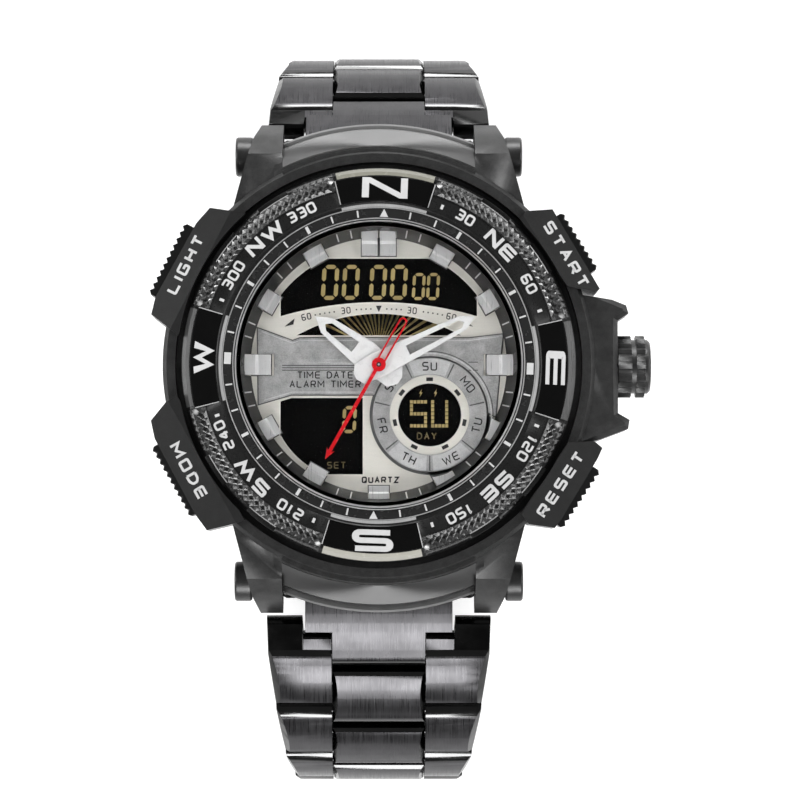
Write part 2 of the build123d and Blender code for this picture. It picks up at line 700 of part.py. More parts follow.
def hour_markers(grow=0):
    """Twelve hour blocks, the one at 12 split in two."""
    blocks = []
    side = (TWELVE_WIDTH + TWELVE_SPLIT) / 4
    for hour in range(12):
        inner = LONG_MARKER_INNER if hour % 3 == 0 else MARKER_INNER
        turn = Rot(0, 0, -30 * hour)
        if hour:
            blocks.append(turn * marker_block(inner, MARKER_WIDTH, grow))
            continue
        half_width = (TWELVE_WIDTH - TWELVE_SPLIT) / 2
        blocks += [Pos(place, 0) * marker_block(inner, half_width, grow) for place in (-side, side)]
    rim = slab(subdial(Circle(SUBDIAL_RIM_SHARE * DIAL_RADIUS - grow)), DIAL_TOP, LEDGE_LEVEL)
    return [block - rim for block in blocks]


def bridge_plate():
    rim = subdial(Circle(SUBDIAL_RIM_SHARE * DIAL_RADIUS))
    face = outline(scaled(BRIDGE_SHARES, DIAL_RADIUS)) & Circle(DIAL_RADIUS - SIDE_GAP)
    plate = slab(face - rim - Circle(DIAL_HUB_BORE), DIAL_TOP, DIAL_TOP + BRIDGE_THICKNESS)
    top = DIAL_TOP + BRIDGE_THICKNESS
    (left, right), (low, high) = [[share * DIAL_RADIUS for share in pair] for pair in RIDGE_SHARES]
    plate += block((left, right), (low, high), (top, top + RIDGE_HEIGHT))
    for marker in hour_markers(SIDE_GAP):
        plate -= marker
    return plate


def weekday_ring():
    window, inner, outer = [share * DIAL_RADIUS for share in
                            (SUBDIAL_WINDOW_SHARE, SUBDIAL_INNER_SHARE, SUBDIAL_OUTER_SHARE)]
    lip = ring(inner, window, DIAL_TOP, DIAL_TOP + WEEK_LIP_THICKNESS)
    return subdial(lip + ring(outer, inner, DIAL_TOP, DIAL_TOP + WEEK_RING_THICKNESS))


# Hands: half outlines as shares of the hand's length, mirrored about its middle line
HOUR_HAND_SHORT = 6.0
MINUTE_HAND_SHORT = 2.5
SECOND_HAND_SHORT = 2.4
HOUR_ANGLE = 52.8
HOUR_HALF_SHARES = [(0.05, -0.33), (0.16, -0.25), (0.16, 0.0), (0.185, 0.22), (0.115, 0.82)]
HOUR_FRAME_SHARES = [(0.075, 0.37), (0.060, 0.78)]
MINUTE_ANGLE = -63.5
MINUTE_HALF_SHARES = [(0.03, -0.245), (0.10, -0.20), (0.12, 0.0), (0.11, 0.19), (0.072, 0.87)]
MINUTE_FRAME_SHARES = [(0.045, 0.30), (0.038, 0.84)]
SECOND_ANGLE = 150.5
SECOND_TAIL_SHARE = 0.49
SECOND_WIDTH = 0.45
SECOND_TAIL_WIDTH = 1.1
SECOND_HUB = 0.88
ARROW_LENGTH = 1.5
ARROW_HALF = 0.55
ARROW_NOTCH_SHARE = 0.6
HAND_THICKNESS = 0.2
HOUR_HAND_LEVEL = 10.2
MINUTE_HAND_LEVEL = 10.6
SECOND_HAND_LEVEL = 11.0
PIPE_WALL = 0.25
SECOND_PIPE = 0.3
CANNON_RADIUS = 0.6
HOUR_LENGTH = DIAL_RADIUS - HOUR_HAND_SHORT
MINUTE_LENGTH = DIAL_RADIUS - MINUTE_HAND_SHORT
SECOND_LENGTH = DIAL_RADIUS - SECOND_HAND_SHORT
PIPE_BOTTOM = DIAL_LEVEL


def both_sides(half_shares, tip, length):
    """A closed outline from its right half and its tip on the middle line."""
    right = [(x * length, y * length) for x, y in half_shares]
    left = [(-x, y) for x, y in reversed(right)]
    return outline(right + [(0, tip)] + left)


def frame_hand(length, half_shares, frame_shares, level, bore):
    """A hand with a solid hub, a faceted tail and an open frame towards its tip."""
    face = both_sides(half_shares, length, length)
    face -= both_sides(frame_shares, length * (frame_shares[-1][1] + frame_shares[-1][0]), length)
    return slab(face - Circle(bore), level, level + HAND_THICKNESS)


def hour_hand():
    hand = frame_hand(HOUR_LENGTH, HOUR_HALF_SHARES, HOUR_FRAME_SHARES, HOUR_HAND_LEVEL, HOUR_PIPE_RADIUS)
    return Rot(0, 0, HOUR_ANGLE) * hand


def minute_hand():
    hand = frame_hand(MINUTE_LENGTH, MINUTE_HALF_SHARES, MINUTE_FRAME_SHARES, MINUTE_HAND_LEVEL, CANNON_RADIUS)
    return Rot(0, 0, MINUTE_ANGLE) * hand


def second_hand():
    """Needle with a barbed arrow, a narrow loop for a tail, and the pin that carries it."""
    tail = SECOND_TAIL_SHARE * SECOND_LENGTH
    half = SECOND_WIDTH / 2
    barb = SECOND_LENGTH - ARROW_LENGTH
    notch = SECOND_LENGTH - ARROW_NOTCH_SHARE * ARROW_LENGTH
    needle = outline([(-half, 0), (half, 0), (half, notch), (0, SECOND_LENGTH), (-half, notch)])
    arrow = outline([(0, SECOND_LENGTH), (ARROW_HALF, barb), (0, notch), (-ARROW_HALF, barb)])
    loop_outside = Pos(0, -tail / 2) * SlotOverall(tail, SECOND_TAIL_WIDTH, rotation=90)
    loop_inside = Pos(0, -tail / 2) * SlotOverall(tail - SECOND_WIDTH, SECOND_TAIL_WIDTH - SECOND_WIDTH,
                                                  rotation=90)
    face = (loop_outside - loop_inside) + needle + arrow + Circle(SECOND_HUB)
    hand = slab(face, SECOND_HAND_LEVEL, SECOND_HAND_LEVEL + HAND_THICKNESS)
    return Rot(0, 0, SECOND_ANGLE) * (hand + disc(SECOND_PIPE, PIPE_BOTTOM, SECOND_HAND_LEVEL))


def cannon_pipe():
    return ring(CANNON_RADIUS, SECOND_PIPE + RUNNING, PIPE_BOTTOM, MINUTE_HAND_LEVEL + HAND_THICKNESS)


def hour_pipe():
    return ring(HOUR_PIPE_RADIUS, CANNON_RADIUS + RUNNING, PIPE_BOTTOM, HOUR_HAND_LEVEL + HAND_THICKNESS)


# Movement
HOLDER_LOW = 2.3
MODULE_MARGIN = 0.2
MODULE_LOW = 5.4
BOARD_THICKNESS = 0.8
BATTERY_RADIUS = 4.75
BATTERY_HEIGHT = 2.6
BATTERY_PLACE_SHARES = (-0.35, -0.3)
CLIP_WIDTH = 3.0
CLIP_FOOT = 2.0
CLIP_SHEET = 0.25
BOARD_LOW = MODULE_LOW - BOARD_THICKNESS
MODULE_RADIUS = DIAL_RADIUS - MODULE_MARGIN
HOLDER_BORE = MODULE_RADIUS + SIDE_GAP
HOLDER_RADIUS = CAVITY_RADIUS - SIDE_GAP
STEM_INNER = MODULE_RADIUS - STEM_DEPTH


def at_battery(shape):
    x, y = BATTERY_PLACE_SHARES
    return Pos(x * DIAL_RADIUS, y * DIAL_RADIUS) * shape


def movement_holder():
    holder = ring(HOLDER_RADIUS, HOLDER_BORE, HOLDER_LOW, DIAL_LEVEL)
    return holder - at_crown(rod_x(TUBE_BORE, HOLDER_BORE - OVERRUN, HOLDER_RADIUS + OVERRUN))


def movement_module():
    module = disc(MODULE_RADIUS, MODULE_LOW, MODULE_TOP)
    module -= disc(HOUR_PIPE_RADIUS + RUNNING, PIPE_BOTTOM - OVERRUN, MODULE_TOP + OVERRUN)
    return module - at_crown(rod_x(STEM_CORE_RADIUS + RUNNING, STEM_INNER - OVERRUN, MODULE_RADIUS + OVERRUN))


def circuit_board():
    board = disc(MODULE_RADIUS, BOARD_LOW, MODULE_LOW)
    return board - at_battery(disc(BATTERY_RADIUS + CLEAR, BOARD_LOW - OVERRUN, MODULE_LOW + OVERRUN))


def battery():
    return at_battery(disc(BATTERY_RADIUS, MODULE_LOW - BATTERY_HEIGHT, MODULE_LOW))


def battery_clip():
    """A strap over the battery that stands on the board at both ends."""
    half = BATTERY_RADIUS + CLEAR
    foot = half + CLIP_FOOT
    low = MODULE_LOW - BATTERY_HEIGHT
    side = CLIP_WIDTH / 2
    strap = block((-half - CLIP_SHEET, half + CLIP_SHEET), (-side, side), (low - CLIP_SHEET, low))
    for turn in (0, 180):
        leg = block((half, half + CLIP_SHEET), (-side, side), (low, BOARD_LOW))
        pad = block((half, foot), (-side, side), (BOARD_LOW - CLIP_SHEET, BOARD_LOW))
        strap += Rot(0, 0, turn) * (leg + pad)
    return at_battery(strap)


# Bracelet: each side runs from its lug bar to the clasp as a chain of pins
END_GAP = 0.2
TAPER_ROWS = 4
LINK_BEVEL = 0.6
CENTRE_BEVEL = 0.35
TIP_BEVEL = 0.35
PIN_INSET = 0.5
PRESS_PIN_GRIP = 2.4
END_LINK_STEP = 6.0
LINK_RADIUS = LINK_THICKNESS / 2
SOLVER_STEP_SHARE = 1e-5
SOLVER_ROUNDS = 40


def chain_headings(first, sway, swing):
    """Direction of each chord below the horizontal, from the lug bar to the clasp, in radians."""
    start, end = radians(first), radians(HEADING_LAST)
    headings = []
    for row in range(LINK_ROWS + 1):
        t = row / LINK_ROWS
        share = t + sway * t * (1 - t) + swing * t * (1 - t) * (1 - 2 * t)
        headings.append(start + (end - start) * share)
    return headings


def chain_pins(headings):
    """Outward distance and drop of each pin from the lug bar."""
    lengths = [END_LINK_LENGTH] + LINK_ROWS * [LINK_PITCH]
    pins = [(0.0, 0.0)]
    for length, heading in zip(lengths, headings):
        outward, drop = pins[-1]
        pins.append((outward + length * cos(heading), drop + length * sin(heading)))
    return pins


def chain_side(first, reach):
    """Bend one side so that its last pin meets the clasp: Newton's rule on the two bend shares."""
    sway = swing = 0.0
    for _ in range(SOLVER_ROUNDS):
        miss = chain_miss(first, sway, swing, reach)
        by_sway = chain_miss(first, sway + SOLVER_STEP_SHARE, swing, reach)
        by_swing = chain_miss(first, sway, swing + SOLVER_STEP_SHARE, reach)
        a, c = [(moved - base) / SOLVER_STEP_SHARE for moved, base in zip(by_sway, miss)]
        b, d = [(moved - base) / SOLVER_STEP_SHARE for moved, base in zip(by_swing, miss)]
        scale = a * d - b * c
        sway -= (miss[0] * d - miss[1] * b) / scale
        swing -= (miss[1] * a - miss[0] * c) / scale
    headings = chain_headings(first, sway, swing)
    return chain_pins(headings), headings


def chain_miss(first, sway, swing, reach):
    outward, drop = chain_pins(chain_headings(first, sway, swing))[-1]
    return outward - reach, drop - LOOP_DROP


CLASP_END = CLASP_CHORD / 2
SIDES = {
    "12": (1, CASE_SHIFT + BAR_OFFSET, chain_side(HEADING_12, CLASP_END - CASE_SHIFT - BAR_OFFSET)),
    "6": (-1, CASE_SHIFT - BAR_OFFSET, chain_side(HEADING_6, CLASP_END + CASE_SHIFT - BAR_OFFSET)),
}
BAR_HEIGHT = CLASP_PIN_LEVEL + LOOP_DROP
HEAD_PLACE = Pos(0, CASE_SHIFT, BAR_HEIGHT - BAR_LEVEL)


def chain_place(side, row):
    """Place of a link: its own pin, +Y along the chord, +Z out of the loop."""
    direction, bar_y, (pins, headings) = SIDES[side]
    outward, drop = pins[row]
    facing = Rot(0, 0, 0) if direction > 0 else Rot(0, 0, 180)
    tilt = Rot(-direction * degrees(headings[row]), 0, 0)
    return Pos(0, bar_y + direction * outward, BAR_HEIGHT - drop) * tilt * facing


def width_at(row):
    """Bracelet width at a pin, tapering over the first rows."""
    share = min(max(row - 1, 0) / TAPER_ROWS, 1)
    return FIRST_WIDTH + share * (LAST_WIDTH - FIRST_WIDTH)


def bevel_side(shape, point, towards, size):
    """Cut the upper long edge that starts at one (x, y) point and runs to another."""
    lean = atan2(point[0] - towards[0], towards[1] - point[1])
    normal = Vector(cos(lean), sin(lean), 1)
    start = Vector(point[0], point[1], LINK_RADIUS) - Vector(size * cos(lean), size * sin(lean), 0)
    return split(shape, Plane(start, z_dir=normal), keep=Keep.BOTTOM)


def link_bar(start, end, round_start, round_end, half_width):
    """A length of link with round or square ends and a crowned top, across the full width."""
    top, low = LINK_RADIUS, -LINK_RADIUS
    crest = ((start + end) / 2, top + LINK_CROWN)
    tip = TIP_BEVEL
    lines = []
    if round_end:
        lines.append(ThreePointArc((end, top), (end + LINK_RADIUS, 0), (end, low)))
        right = [(end, low)]
        left_of_top = (end, top)
    else:
        lines.append(Polyline((end - tip, top), (end, top - tip), (end, low + tip), (end - tip, low)))
        right = [(end - tip, low)]
        left_of_top = (end - tip, top)
    if round_start:
        lines.append(ThreePointArc((start, low), (start - LINK_RADIUS, 0), (start, top)))
        lines.append(Line(right[0], (start, low)))
        lines.append(ThreePointArc((start, top), crest, left_of_top))
    else:
        lines.append(Polyline((start + tip, low), (start, low + tip), (start, top - tip), (start + tip, top)))
        lines.append(Line(right[0], (start + tip, low)))
        lines.append(ThreePointArc((start + tip, top), crest, left_of_top))
    section = Plane.YZ.offset(-half_width) * make_face(lines)
    return extrude(section, 2 * half_width, dir=(1, 0, 0))


def centre_piece():
    half = CENTRE_WIDTH / 2 - SIDE_GAP
    piece = link_bar(LINK_RADIUS + END_GAP, LINK_PITCH, False, True, half)
    piece = bevel_side(piece, (half, 0), (half, LINK_PITCH), CENTRE_BEVEL)
    piece = piece - Pos(0, LINK_PITCH / 2) * rod_x(LINK_PIN_RADIUS, -half, half)
    piece = piece - Pos(0, LINK_PITCH) * rod_x(LINK_PIN_RADIUS + RUNNING, -half, half)
    return mirrored_bevel(piece, half)


def mirrored_bevel(piece, half):
    """The same upper edge bevel on the other side."""
    other = mirror(piece, Plane.YZ)
    return mirror(bevel_side(other, (half, 0), (half, LINK_PITCH), CENTRE_BEVEL), Plane.YZ)


def outer_piece(row):
    """The right outer piece of a row, narrowing towards the clasp."""
    inner, reach = CENTRE_WIDTH / 2, FIRST_WIDTH / 2 + OVERRUN
    end = LINK_PITCH - LINK_RADIUS - END_GAP
    near, far = (width_at(row) / 2, -LINK_RADIUS), (width_at(row + 1) / 2, end)
    bar = link_bar(0, end, True, False, reach)
    face = outline([(inner, -LINK_RADIUS), near, far, (inner, end)])
    plan = slab(face, -LINK_RADIUS, LINK_RADIUS + OVERRUN)
    piece = bevel_side(bar & plan, near, far, LINK_BEVEL)
    piece = piece - rod_x(LINK_PIN_RADIUS, inner, width_at(row) / 2 - PIN_INSET)
    return piece - Pos(0, LINK_PITCH / 2) * rod_x(LINK_PIN_RADIUS, inner, inner + PRESS_PIN_GRIP)


def link_row(side, row):
    """One rigid row: centre piece, two outer pieces, the hinge pin and the press pin."""
    outer = outer_piece(row)
    half = width_at(row) / 2 - PIN_INSET
    grip = CENTRE_WIDTH / 2 + PRESS_PIN_GRIP
    hinge_pin = rod_x(LINK_PIN_RADIUS, -half, half)
    press_pin = Pos(0, LINK_PITCH / 2) * rod_x(LINK_PIN_RADIUS, -grip, grip)
    pieces = [centre_piece(), outer, mirror(outer, Plane.YZ), hinge_pin, press_pin]
    if side == "12" and row == LINK_ROWS:
        pieces.append(Pos(0, LINK_PITCH) * spring_bar())
    return [chain_place(side, row) * piece for piece in pieces]


def spring_bar():
    """The bar at the clasp's open end, its tips pressed in."""
    half = CENTRE_WIDTH / 2 - SIDE_GAP
    return rod_x(LINK_PIN_RADIUS + RUNNING, -half, half)


def end_link(side):
    """Solid end link: a wide root on the lug bar and a tongue for the first pin."""
    wide, tongue = END_LINK_WIDTH / 2, CENTRE_WIDTH / 2 - SIDE_GAP
    bar = link_bar(0, END_LINK_LENGTH, True, True, wide)
    plan = outline([(-wide, -LINK_RADIUS), (wide, -LINK_RADIUS), (wide, END_LINK_STEP),
                    (tongue, END_LINK_STEP), (tongue, END_LINK_LENGTH + LINK_RADIUS),
                    (-tongue, END_LINK_LENGTH + LINK_RADIUS), (-tongue, END_LINK_STEP),
                    (-wide, END_LINK_STEP)])
    link = bar & slab(plan, -LINK_RADIUS, LINK_RADIUS + OVERRUN)
    link -= rod_x(BAR_RADIUS + RUNNING, -wide, wide)
    link -= Pos(0, END_LINK_LENGTH) * rod_x(LINK_PIN_RADIUS + RUNNING, -tongue, tongue)
    return chain_place(side, 0) * link


# Folding clasp, drawn in place: 6 o'clock end at -Y, 12 o'clock end at +Y
CLASP_WALL_TOP = 4.4
COVER_EAR = 1.6
COVER_PLATE_START = -18.0
COVER_PLATE_END = 11.5
COVER_EDGE = 0.5
BLADE_HINGE_Y = 14.0
COVER_HINGE_LEVEL = 2.0
COVER_HINGE_RADIUS = 1.1
FOLD_HINGE_LEVEL = 2.6
FOLD_HINGE_RADIUS = 1.3
BLADE_MARGIN = 0.5
LONG_BLADE_LEVEL = 1.0
SHORT_BLADE_LEVEL = 3.3
FOLD_KNUCKLE_HALF = 4.0
SHORT_BLADE_END = 16.3
FORK_START = BLADE_HINGE_Y + COVER_HINGE_RADIUS + 2 * CLEAR
FORK_WALL = 1.0
FORK_RADIUS = 1.25
CLASP_BUTTON_Y = -6.0
CLASP_BUTTON_LENGTH = 6.0
CLASP_BUTTON_HEIGHT = 2.0
CLASP_BUTTON_LEVEL = 2.5
CLASP_BUTTON_PROUD = 0.9
CLASP_FLANGE = 0.5
CLASP_FLANGE_RIM = 0.5
BLADE_HALF = CENTRE_WIDTH / 2 + BLADE_MARGIN
FORK_INNER = CENTRE_WIDTH / 2 + CLEAR
COVER_HALF = LAST_WIDTH / 2
COVER_INSIDE = COVER_HALF - CLASP_SHEET


def at_pin(y, z, shape):
    return Pos(0, y, z) * shape


def cover_wall():
    """Side wall of the cover: straight between an ear at each end."""
    low_ear = Pos(-CLASP_END, CLASP_PIN_LEVEL) * Circle(COVER_EAR)
    high_ear = Pos(BLADE_HINGE_Y, COVER_HINGE_LEVEL) * Circle(COVER_HINGE_LEVEL)
    straight = outline([(-CLASP_END, 0), (BLADE_HINGE_Y, 0), (BLADE_HINGE_Y, CLASP_WALL_TOP),
                        (-CLASP_END, CLASP_WALL_TOP)])
    face = low_ear + high_ear + straight
    return extrude(Plane.YZ.offset(COVER_INSIDE) * face, CLASP_SHEET, dir=(1, 0, 0))


def clasp_button_section(rim, start, end):
    half_y, half_z = CLASP_BUTTON_LENGTH / 2 + rim, CLASP_BUTTON_HEIGHT / 2 + rim
    return block((start, end), (CLASP_BUTTON_Y - half_y, CLASP_BUTTON_Y + half_y),
                 (CLASP_BUTTON_LEVEL - half_z, CLASP_BUTTON_LEVEL + half_z))


def clasp_cover():
    wall = cover_wall()
    plate = block((-COVER_HALF, COVER_HALF), (COVER_PLATE_START, COVER_PLATE_END), (0, CLASP_SHEET))
    cover = wall + mirror(wall, Plane.YZ) + plate
    long_edges = cover.edges().filter_by(Axis.Y).group_by(Axis.Z)[0].sort_by(Axis.X)
    cover = chamfer([long_edges[0], long_edges[-1]], COVER_EDGE)
    cover -= at_pin(-CLASP_END, CLASP_PIN_LEVEL, rod_x(LINK_PIN_RADIUS, -COVER_HALF, COVER_HALF))
    cover -= at_pin(BLADE_HINGE_Y, COVER_HINGE_LEVEL, rod_x(LINK_PIN_RADIUS, -COVER_HALF, COVER_HALF))
    hole = clasp_button_section(SIDE_GAP, COVER_INSIDE - OVERRUN, COVER_HALF + OVERRUN)
    return cover - hole - mirror(hole, Plane.YZ)


def clasp_pins():
    """The cover's spring bar at 6 o'clock and the pin of its blade hinge."""
    bar = rod_x(LINK_PIN_RADIUS, -COVER_HALF, COVER_HALF)
    return [at_pin(-CLASP_END, CLASP_PIN_LEVEL, bar), at_pin(BLADE_HINGE_Y, COVER_HINGE_LEVEL, bar)]


def clasp_long_blade():
    low, high = LONG_BLADE_LEVEL, LONG_BLADE_LEVEL + BLADE_SHEET
    plate = block((-BLADE_HALF, BLADE_HALF), (-BLADE_HINGE_Y, BLADE_HINGE_Y), (low, high))
    knuckles = at_pin(-BLADE_HINGE_Y, FOLD_HINGE_LEVEL, rod_x(FOLD_HINGE_RADIUS, -BLADE_HALF, BLADE_HALF))
    barrel = at_pin(BLADE_HINGE_Y, COVER_HINGE_LEVEL, rod_x(COVER_HINGE_RADIUS, -BLADE_HALF, BLADE_HALF))
    blade = plate + knuckles + barrel
    half = FOLD_KNUCKLE_HALF + SIDE_GAP
    notch_end = FOLD_HINGE_RADIUS + CLEAR - BLADE_HINGE_Y
    blade -= block((-half, half), (-BLADE_HINGE_Y - FOLD_HINGE_RADIUS - OVERRUN, notch_end),
                   (0, SHORT_BLADE_LEVEL + FOLD_HINGE_RADIUS))
    blade -= at_pin(BLADE_HINGE_Y, COVER_HINGE_LEVEL,
                    rod_x(LINK_PIN_RADIUS + RUNNING, -BLADE_HALF, BLADE_HALF))
    pin_room = at_pin(-BLADE_HINGE_Y, FOLD_HINGE_LEVEL, rod_x(LINK_PIN_RADIUS, -BLADE_HALF, BLADE_HALF))
    return [blade - pin_room, pin_room]


def clasp_short_blade():
    """Inner blade, hinged on the long one, with a fork for the last link at 12 o'clock."""
    low, high = SHORT_BLADE_LEVEL, SHORT_BLADE_LEVEL + BLADE_SHEET
    start = FOLD_HINGE_RADIUS + CLEAR - BLADE_HINGE_Y
    plate = block((-BLADE_HALF, BLADE_HALF), (start, SHORT_BLADE_END), (low, high))
    knuckle_half = FOLD_KNUCKLE_HALF
    neck = block((-knuckle_half, knuckle_half), (-BLADE_HINGE_Y, start), (low, high))
    knuckle = at_pin(-BLADE_HINGE_Y, FOLD_HINGE_LEVEL,
                     rod_x(FOLD_HINGE_RADIUS, -knuckle_half, knuckle_half))
    outer = FORK_INNER + FORK_WALL
    shoulder = block((-outer, outer), (FORK_START, SHORT_BLADE_END), (low, high))
    drop = CLASP_PIN_LEVEL - FORK_RADIUS
    cheek = block((FORK_INNER, outer), (FORK_START, CLASP_END), (drop, high))
    ear = at_pin(CLASP_END, CLASP_PIN_LEVEL, rod_x(FORK_RADIUS, FORK_INNER, outer))
    eye = at_pin(CLASP_END, CLASP_PIN_LEVEL, rod_x(LINK_PIN_RADIUS, FORK_INNER, outer))
    cheek = cheek + ear - eye
    blade = joined([plate, neck, knuckle, shoulder, cheek, mirror(cheek, Plane.YZ)])
    return blade - at_pin(-BLADE_HINGE_Y, FOLD_HINGE_LEVEL,
                          rod_x(LINK_PIN_RADIUS + RUNNING, -knuckle_half, knuckle_half))


def clasp_button():
    """The right side button: a head through the cover's wall and a rim inside it."""
    head = clasp_button_section(0, COVER_INSIDE, COVER_HALF + CLASP_BUTTON_PROUD)
    return head + clasp_button_section(CLASP_FLANGE_RIM, COVER_INSIDE - CLASP_FLANGE, COVER_INSIDE)


def head_nodes():
    """Every node of the watch head, drawn about the head's own middle."""
    body = case_body()
    nodes = {
        "case_body": body, "pusher_guards": pusher_guards(body), "case_back": case_back(),
        "case_gaskets": [case_back_gasket(), *button_gaskets()], "case_back_screws": case_back_screws(),
        "lug_bars": lug_bars(), "lug_spacers": lug_spacers(), "bezel_ring": bezel_ring(),
        "bezel_tiles": tile_cut(TILE_PROUD), "bezel_tick_ring": bezel_tick_ring(),
        "bezel_click_ring": bezel_click_ring(), "crystal": crystal(), "crystal_gasket": crystal_gasket(),
        "inner_flange": inner_flange(), "dial_plate": dial_plate(), "hour_markers": hour_markers(),
        "bridge_plate": bridge_plate(), "weekday_ring": weekday_ring(), "lcd_panels": lcd_panels(),
        "hour_hand": hour_hand(), "hour_pipe": hour_pipe(), "minute_hand": minute_hand(),
        "cannon_pipe": cannon_pipe(), "second_hand": second_hand(), "movement_holder": movement_holder(),
        "movement_module": movement_module(), "circuit_board": circuit_board(), "battery": battery(),
        "battery_clip": battery_clip(), "crown": crown(), "crown_stem": crown_stem(),
        "crown_tube": crown_tube(), "crown_seal": crown_seal(), "button_springs": button_springs(),
    }
    for button in BUTTONS:
        nodes["button_" + button[0]] = at_button(button, push_button(button[2]))
    return nodes


def bracelet_nodes():
    nodes = {}
    for side in SIDES:
        nodes["end_link_" + side] = end_link(side)
        for row in range(1, LINK_ROWS + 1):
            nodes[f"link_{side}_{row}"] = link_row(side, row)
    return nodes


def clasp_nodes():
    button = clasp_button()
    return {
        "clasp_cover": clasp_cover(), "clasp_pins": clasp_pins(), "clasp_long_blade": clasp_long_blade(),
        "clasp_short_blade": clasp_short_blade(), "clasp_button_right": button,
        "clasp_button_left": mirror(button, Plane.YZ),
    }


def solids_of(shape):
    """A node's solids, from one shape or a list of shapes."""
    shapes = shape if isinstance(shape, list) else [shape]
    return [solid for item in shapes for solid in item.solids()]


def write_nodes(nodes, place):
    for name, shape in nodes.items():
        solids = [place * solid for solid in solids_of(shape)]
        export_step(solids[0] if len(solids) == 1 else Compound(solids), f"parts/{name}.step")


os.makedirs("parts", exist_ok=True)
write_nodes(head_nodes(), HEAD_PLACE)
write_nodes(bracelet_nodes(), Pos(0, 0, 0))
write_nodes(clasp_nodes(), Pos(0, 0, 0))
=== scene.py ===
import bmesh
import bpy
import json
from math import atan2, cos, degrees, radians, sin, sqrt, tan
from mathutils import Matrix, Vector

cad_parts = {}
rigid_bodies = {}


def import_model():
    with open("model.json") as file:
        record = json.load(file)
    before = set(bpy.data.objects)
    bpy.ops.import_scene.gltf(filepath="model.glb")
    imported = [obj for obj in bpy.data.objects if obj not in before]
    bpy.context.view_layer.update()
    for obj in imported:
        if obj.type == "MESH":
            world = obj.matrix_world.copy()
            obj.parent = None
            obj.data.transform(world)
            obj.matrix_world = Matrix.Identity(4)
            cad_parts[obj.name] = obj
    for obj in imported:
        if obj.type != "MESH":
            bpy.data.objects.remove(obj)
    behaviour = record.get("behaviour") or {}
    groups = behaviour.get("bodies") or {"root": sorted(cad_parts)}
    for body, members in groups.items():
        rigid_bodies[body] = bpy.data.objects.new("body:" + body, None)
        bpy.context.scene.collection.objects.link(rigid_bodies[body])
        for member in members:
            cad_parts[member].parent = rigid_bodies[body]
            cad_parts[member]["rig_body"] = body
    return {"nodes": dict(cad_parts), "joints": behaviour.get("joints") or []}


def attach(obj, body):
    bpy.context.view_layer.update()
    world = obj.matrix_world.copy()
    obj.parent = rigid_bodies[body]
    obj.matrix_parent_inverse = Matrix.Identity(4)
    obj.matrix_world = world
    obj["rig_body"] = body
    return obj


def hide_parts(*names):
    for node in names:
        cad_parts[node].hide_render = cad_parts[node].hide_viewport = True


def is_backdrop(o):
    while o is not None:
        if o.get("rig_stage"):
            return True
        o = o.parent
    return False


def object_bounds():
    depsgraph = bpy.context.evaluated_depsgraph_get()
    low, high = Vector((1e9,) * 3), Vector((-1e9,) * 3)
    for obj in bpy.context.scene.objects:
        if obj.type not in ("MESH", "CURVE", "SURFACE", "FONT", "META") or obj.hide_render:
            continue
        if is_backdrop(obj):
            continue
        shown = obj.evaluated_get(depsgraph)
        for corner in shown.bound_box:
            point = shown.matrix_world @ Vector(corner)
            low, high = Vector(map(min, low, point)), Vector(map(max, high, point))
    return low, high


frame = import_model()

# Dress for an analogue-digital wristwatch: finer copies of the CAD solids, knurling, printing, displays
# and hands. Sizes are in millimetres and are turned into metres where a mesh or a light is made.
MM = 0.001

CAD_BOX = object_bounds()

# The head's own frame, as in the CAD: the case back's outer face on the dial's axis
HEAD = Vector((0, 10, 41.4))
# Direction of the bracelet's two sides along Y
SIDES = {"12": 1, "6": -1}

# Parts of a turn in degrees
FULL_TURN = 360
WHOLE_RING = (0, FULL_TURN)
QUARTERS, HOURS = 4, 12
QUARTER_TURN, HOUR_TURN = FULL_TURN / QUARTERS, FULL_TURN / HOURS


def to_metres(point):
    return Vector(point) * MM


def in_head(x, y, z):
    """A point of the head's own frame in the row's frame."""
    return Vector((x, y, z)) + HEAD


def clock_axes(angle):
    """The directions outward and clockwise along the dial, at a clockwise angle from 12."""
    turn = radians(angle)
    return Vector((sin(turn), cos(turn))), Vector((cos(turn), -sin(turn)))


def about(middle, sweep):
    """The start and end of a sweep about a middle angle."""
    return middle - sweep / 2, middle + sweep / 2


def centred(half):
    """A range that reaches as far below zero as above it."""
    return -half, half


# Materials: grain and brush sizes are repeats per millimetre, depths are in millimetres
CASE_GRAIN, CASE_GRAIN_DEPTH = 9.0, 0.012
SOFT_GRAIN, SOFT_GRAIN_DEPTH = 6.0, 0.006
DIAL_GRAIN, DIAL_GRAIN_DEPTH = 7.0, 0.022
CLOUD_SHARE = 1 / 12
BRUSH_ACROSS, BRUSH_ALONG, BRUSH_DEPTH = 7.0, 0.22, 0.004
DIAL_BRUSH_ACROSS, DIAL_BRUSH_ALONG, DIAL_BRUSH_DEPTH = 5.0, 0.3, 0.002
STEEL_CLOUD = 0.3
SMUDGE_GRAIN, HAIRLINE_ACROSS, HAIRLINE_ALONG, HAIRLINE_DEPTH = 0.35, 6.0, 1.0, 0.0006
PEEL_GRAIN, PEEL_DEPTH, PAINT_CLOUD = 2.5, 0.0015, 0.8
# Octaves of each noise, and how strong the finer octaves are
CLOUD_DETAIL, GRAIN_DETAIL, SMUDGE_DETAIL, STREAK_DETAIL, HAIRLINE_DETAIL = 2.0, 3.0, 4.0, 4.0, 5.0
GRAIN_STRENGTH, STREAK_STRENGTH = 0.6, 0.7
# The stretch of one noise, and of the sum of two, that is used
NOISE_RANGE, SUM_RANGE = (0.3, 0.7), (0.7, 1.3)
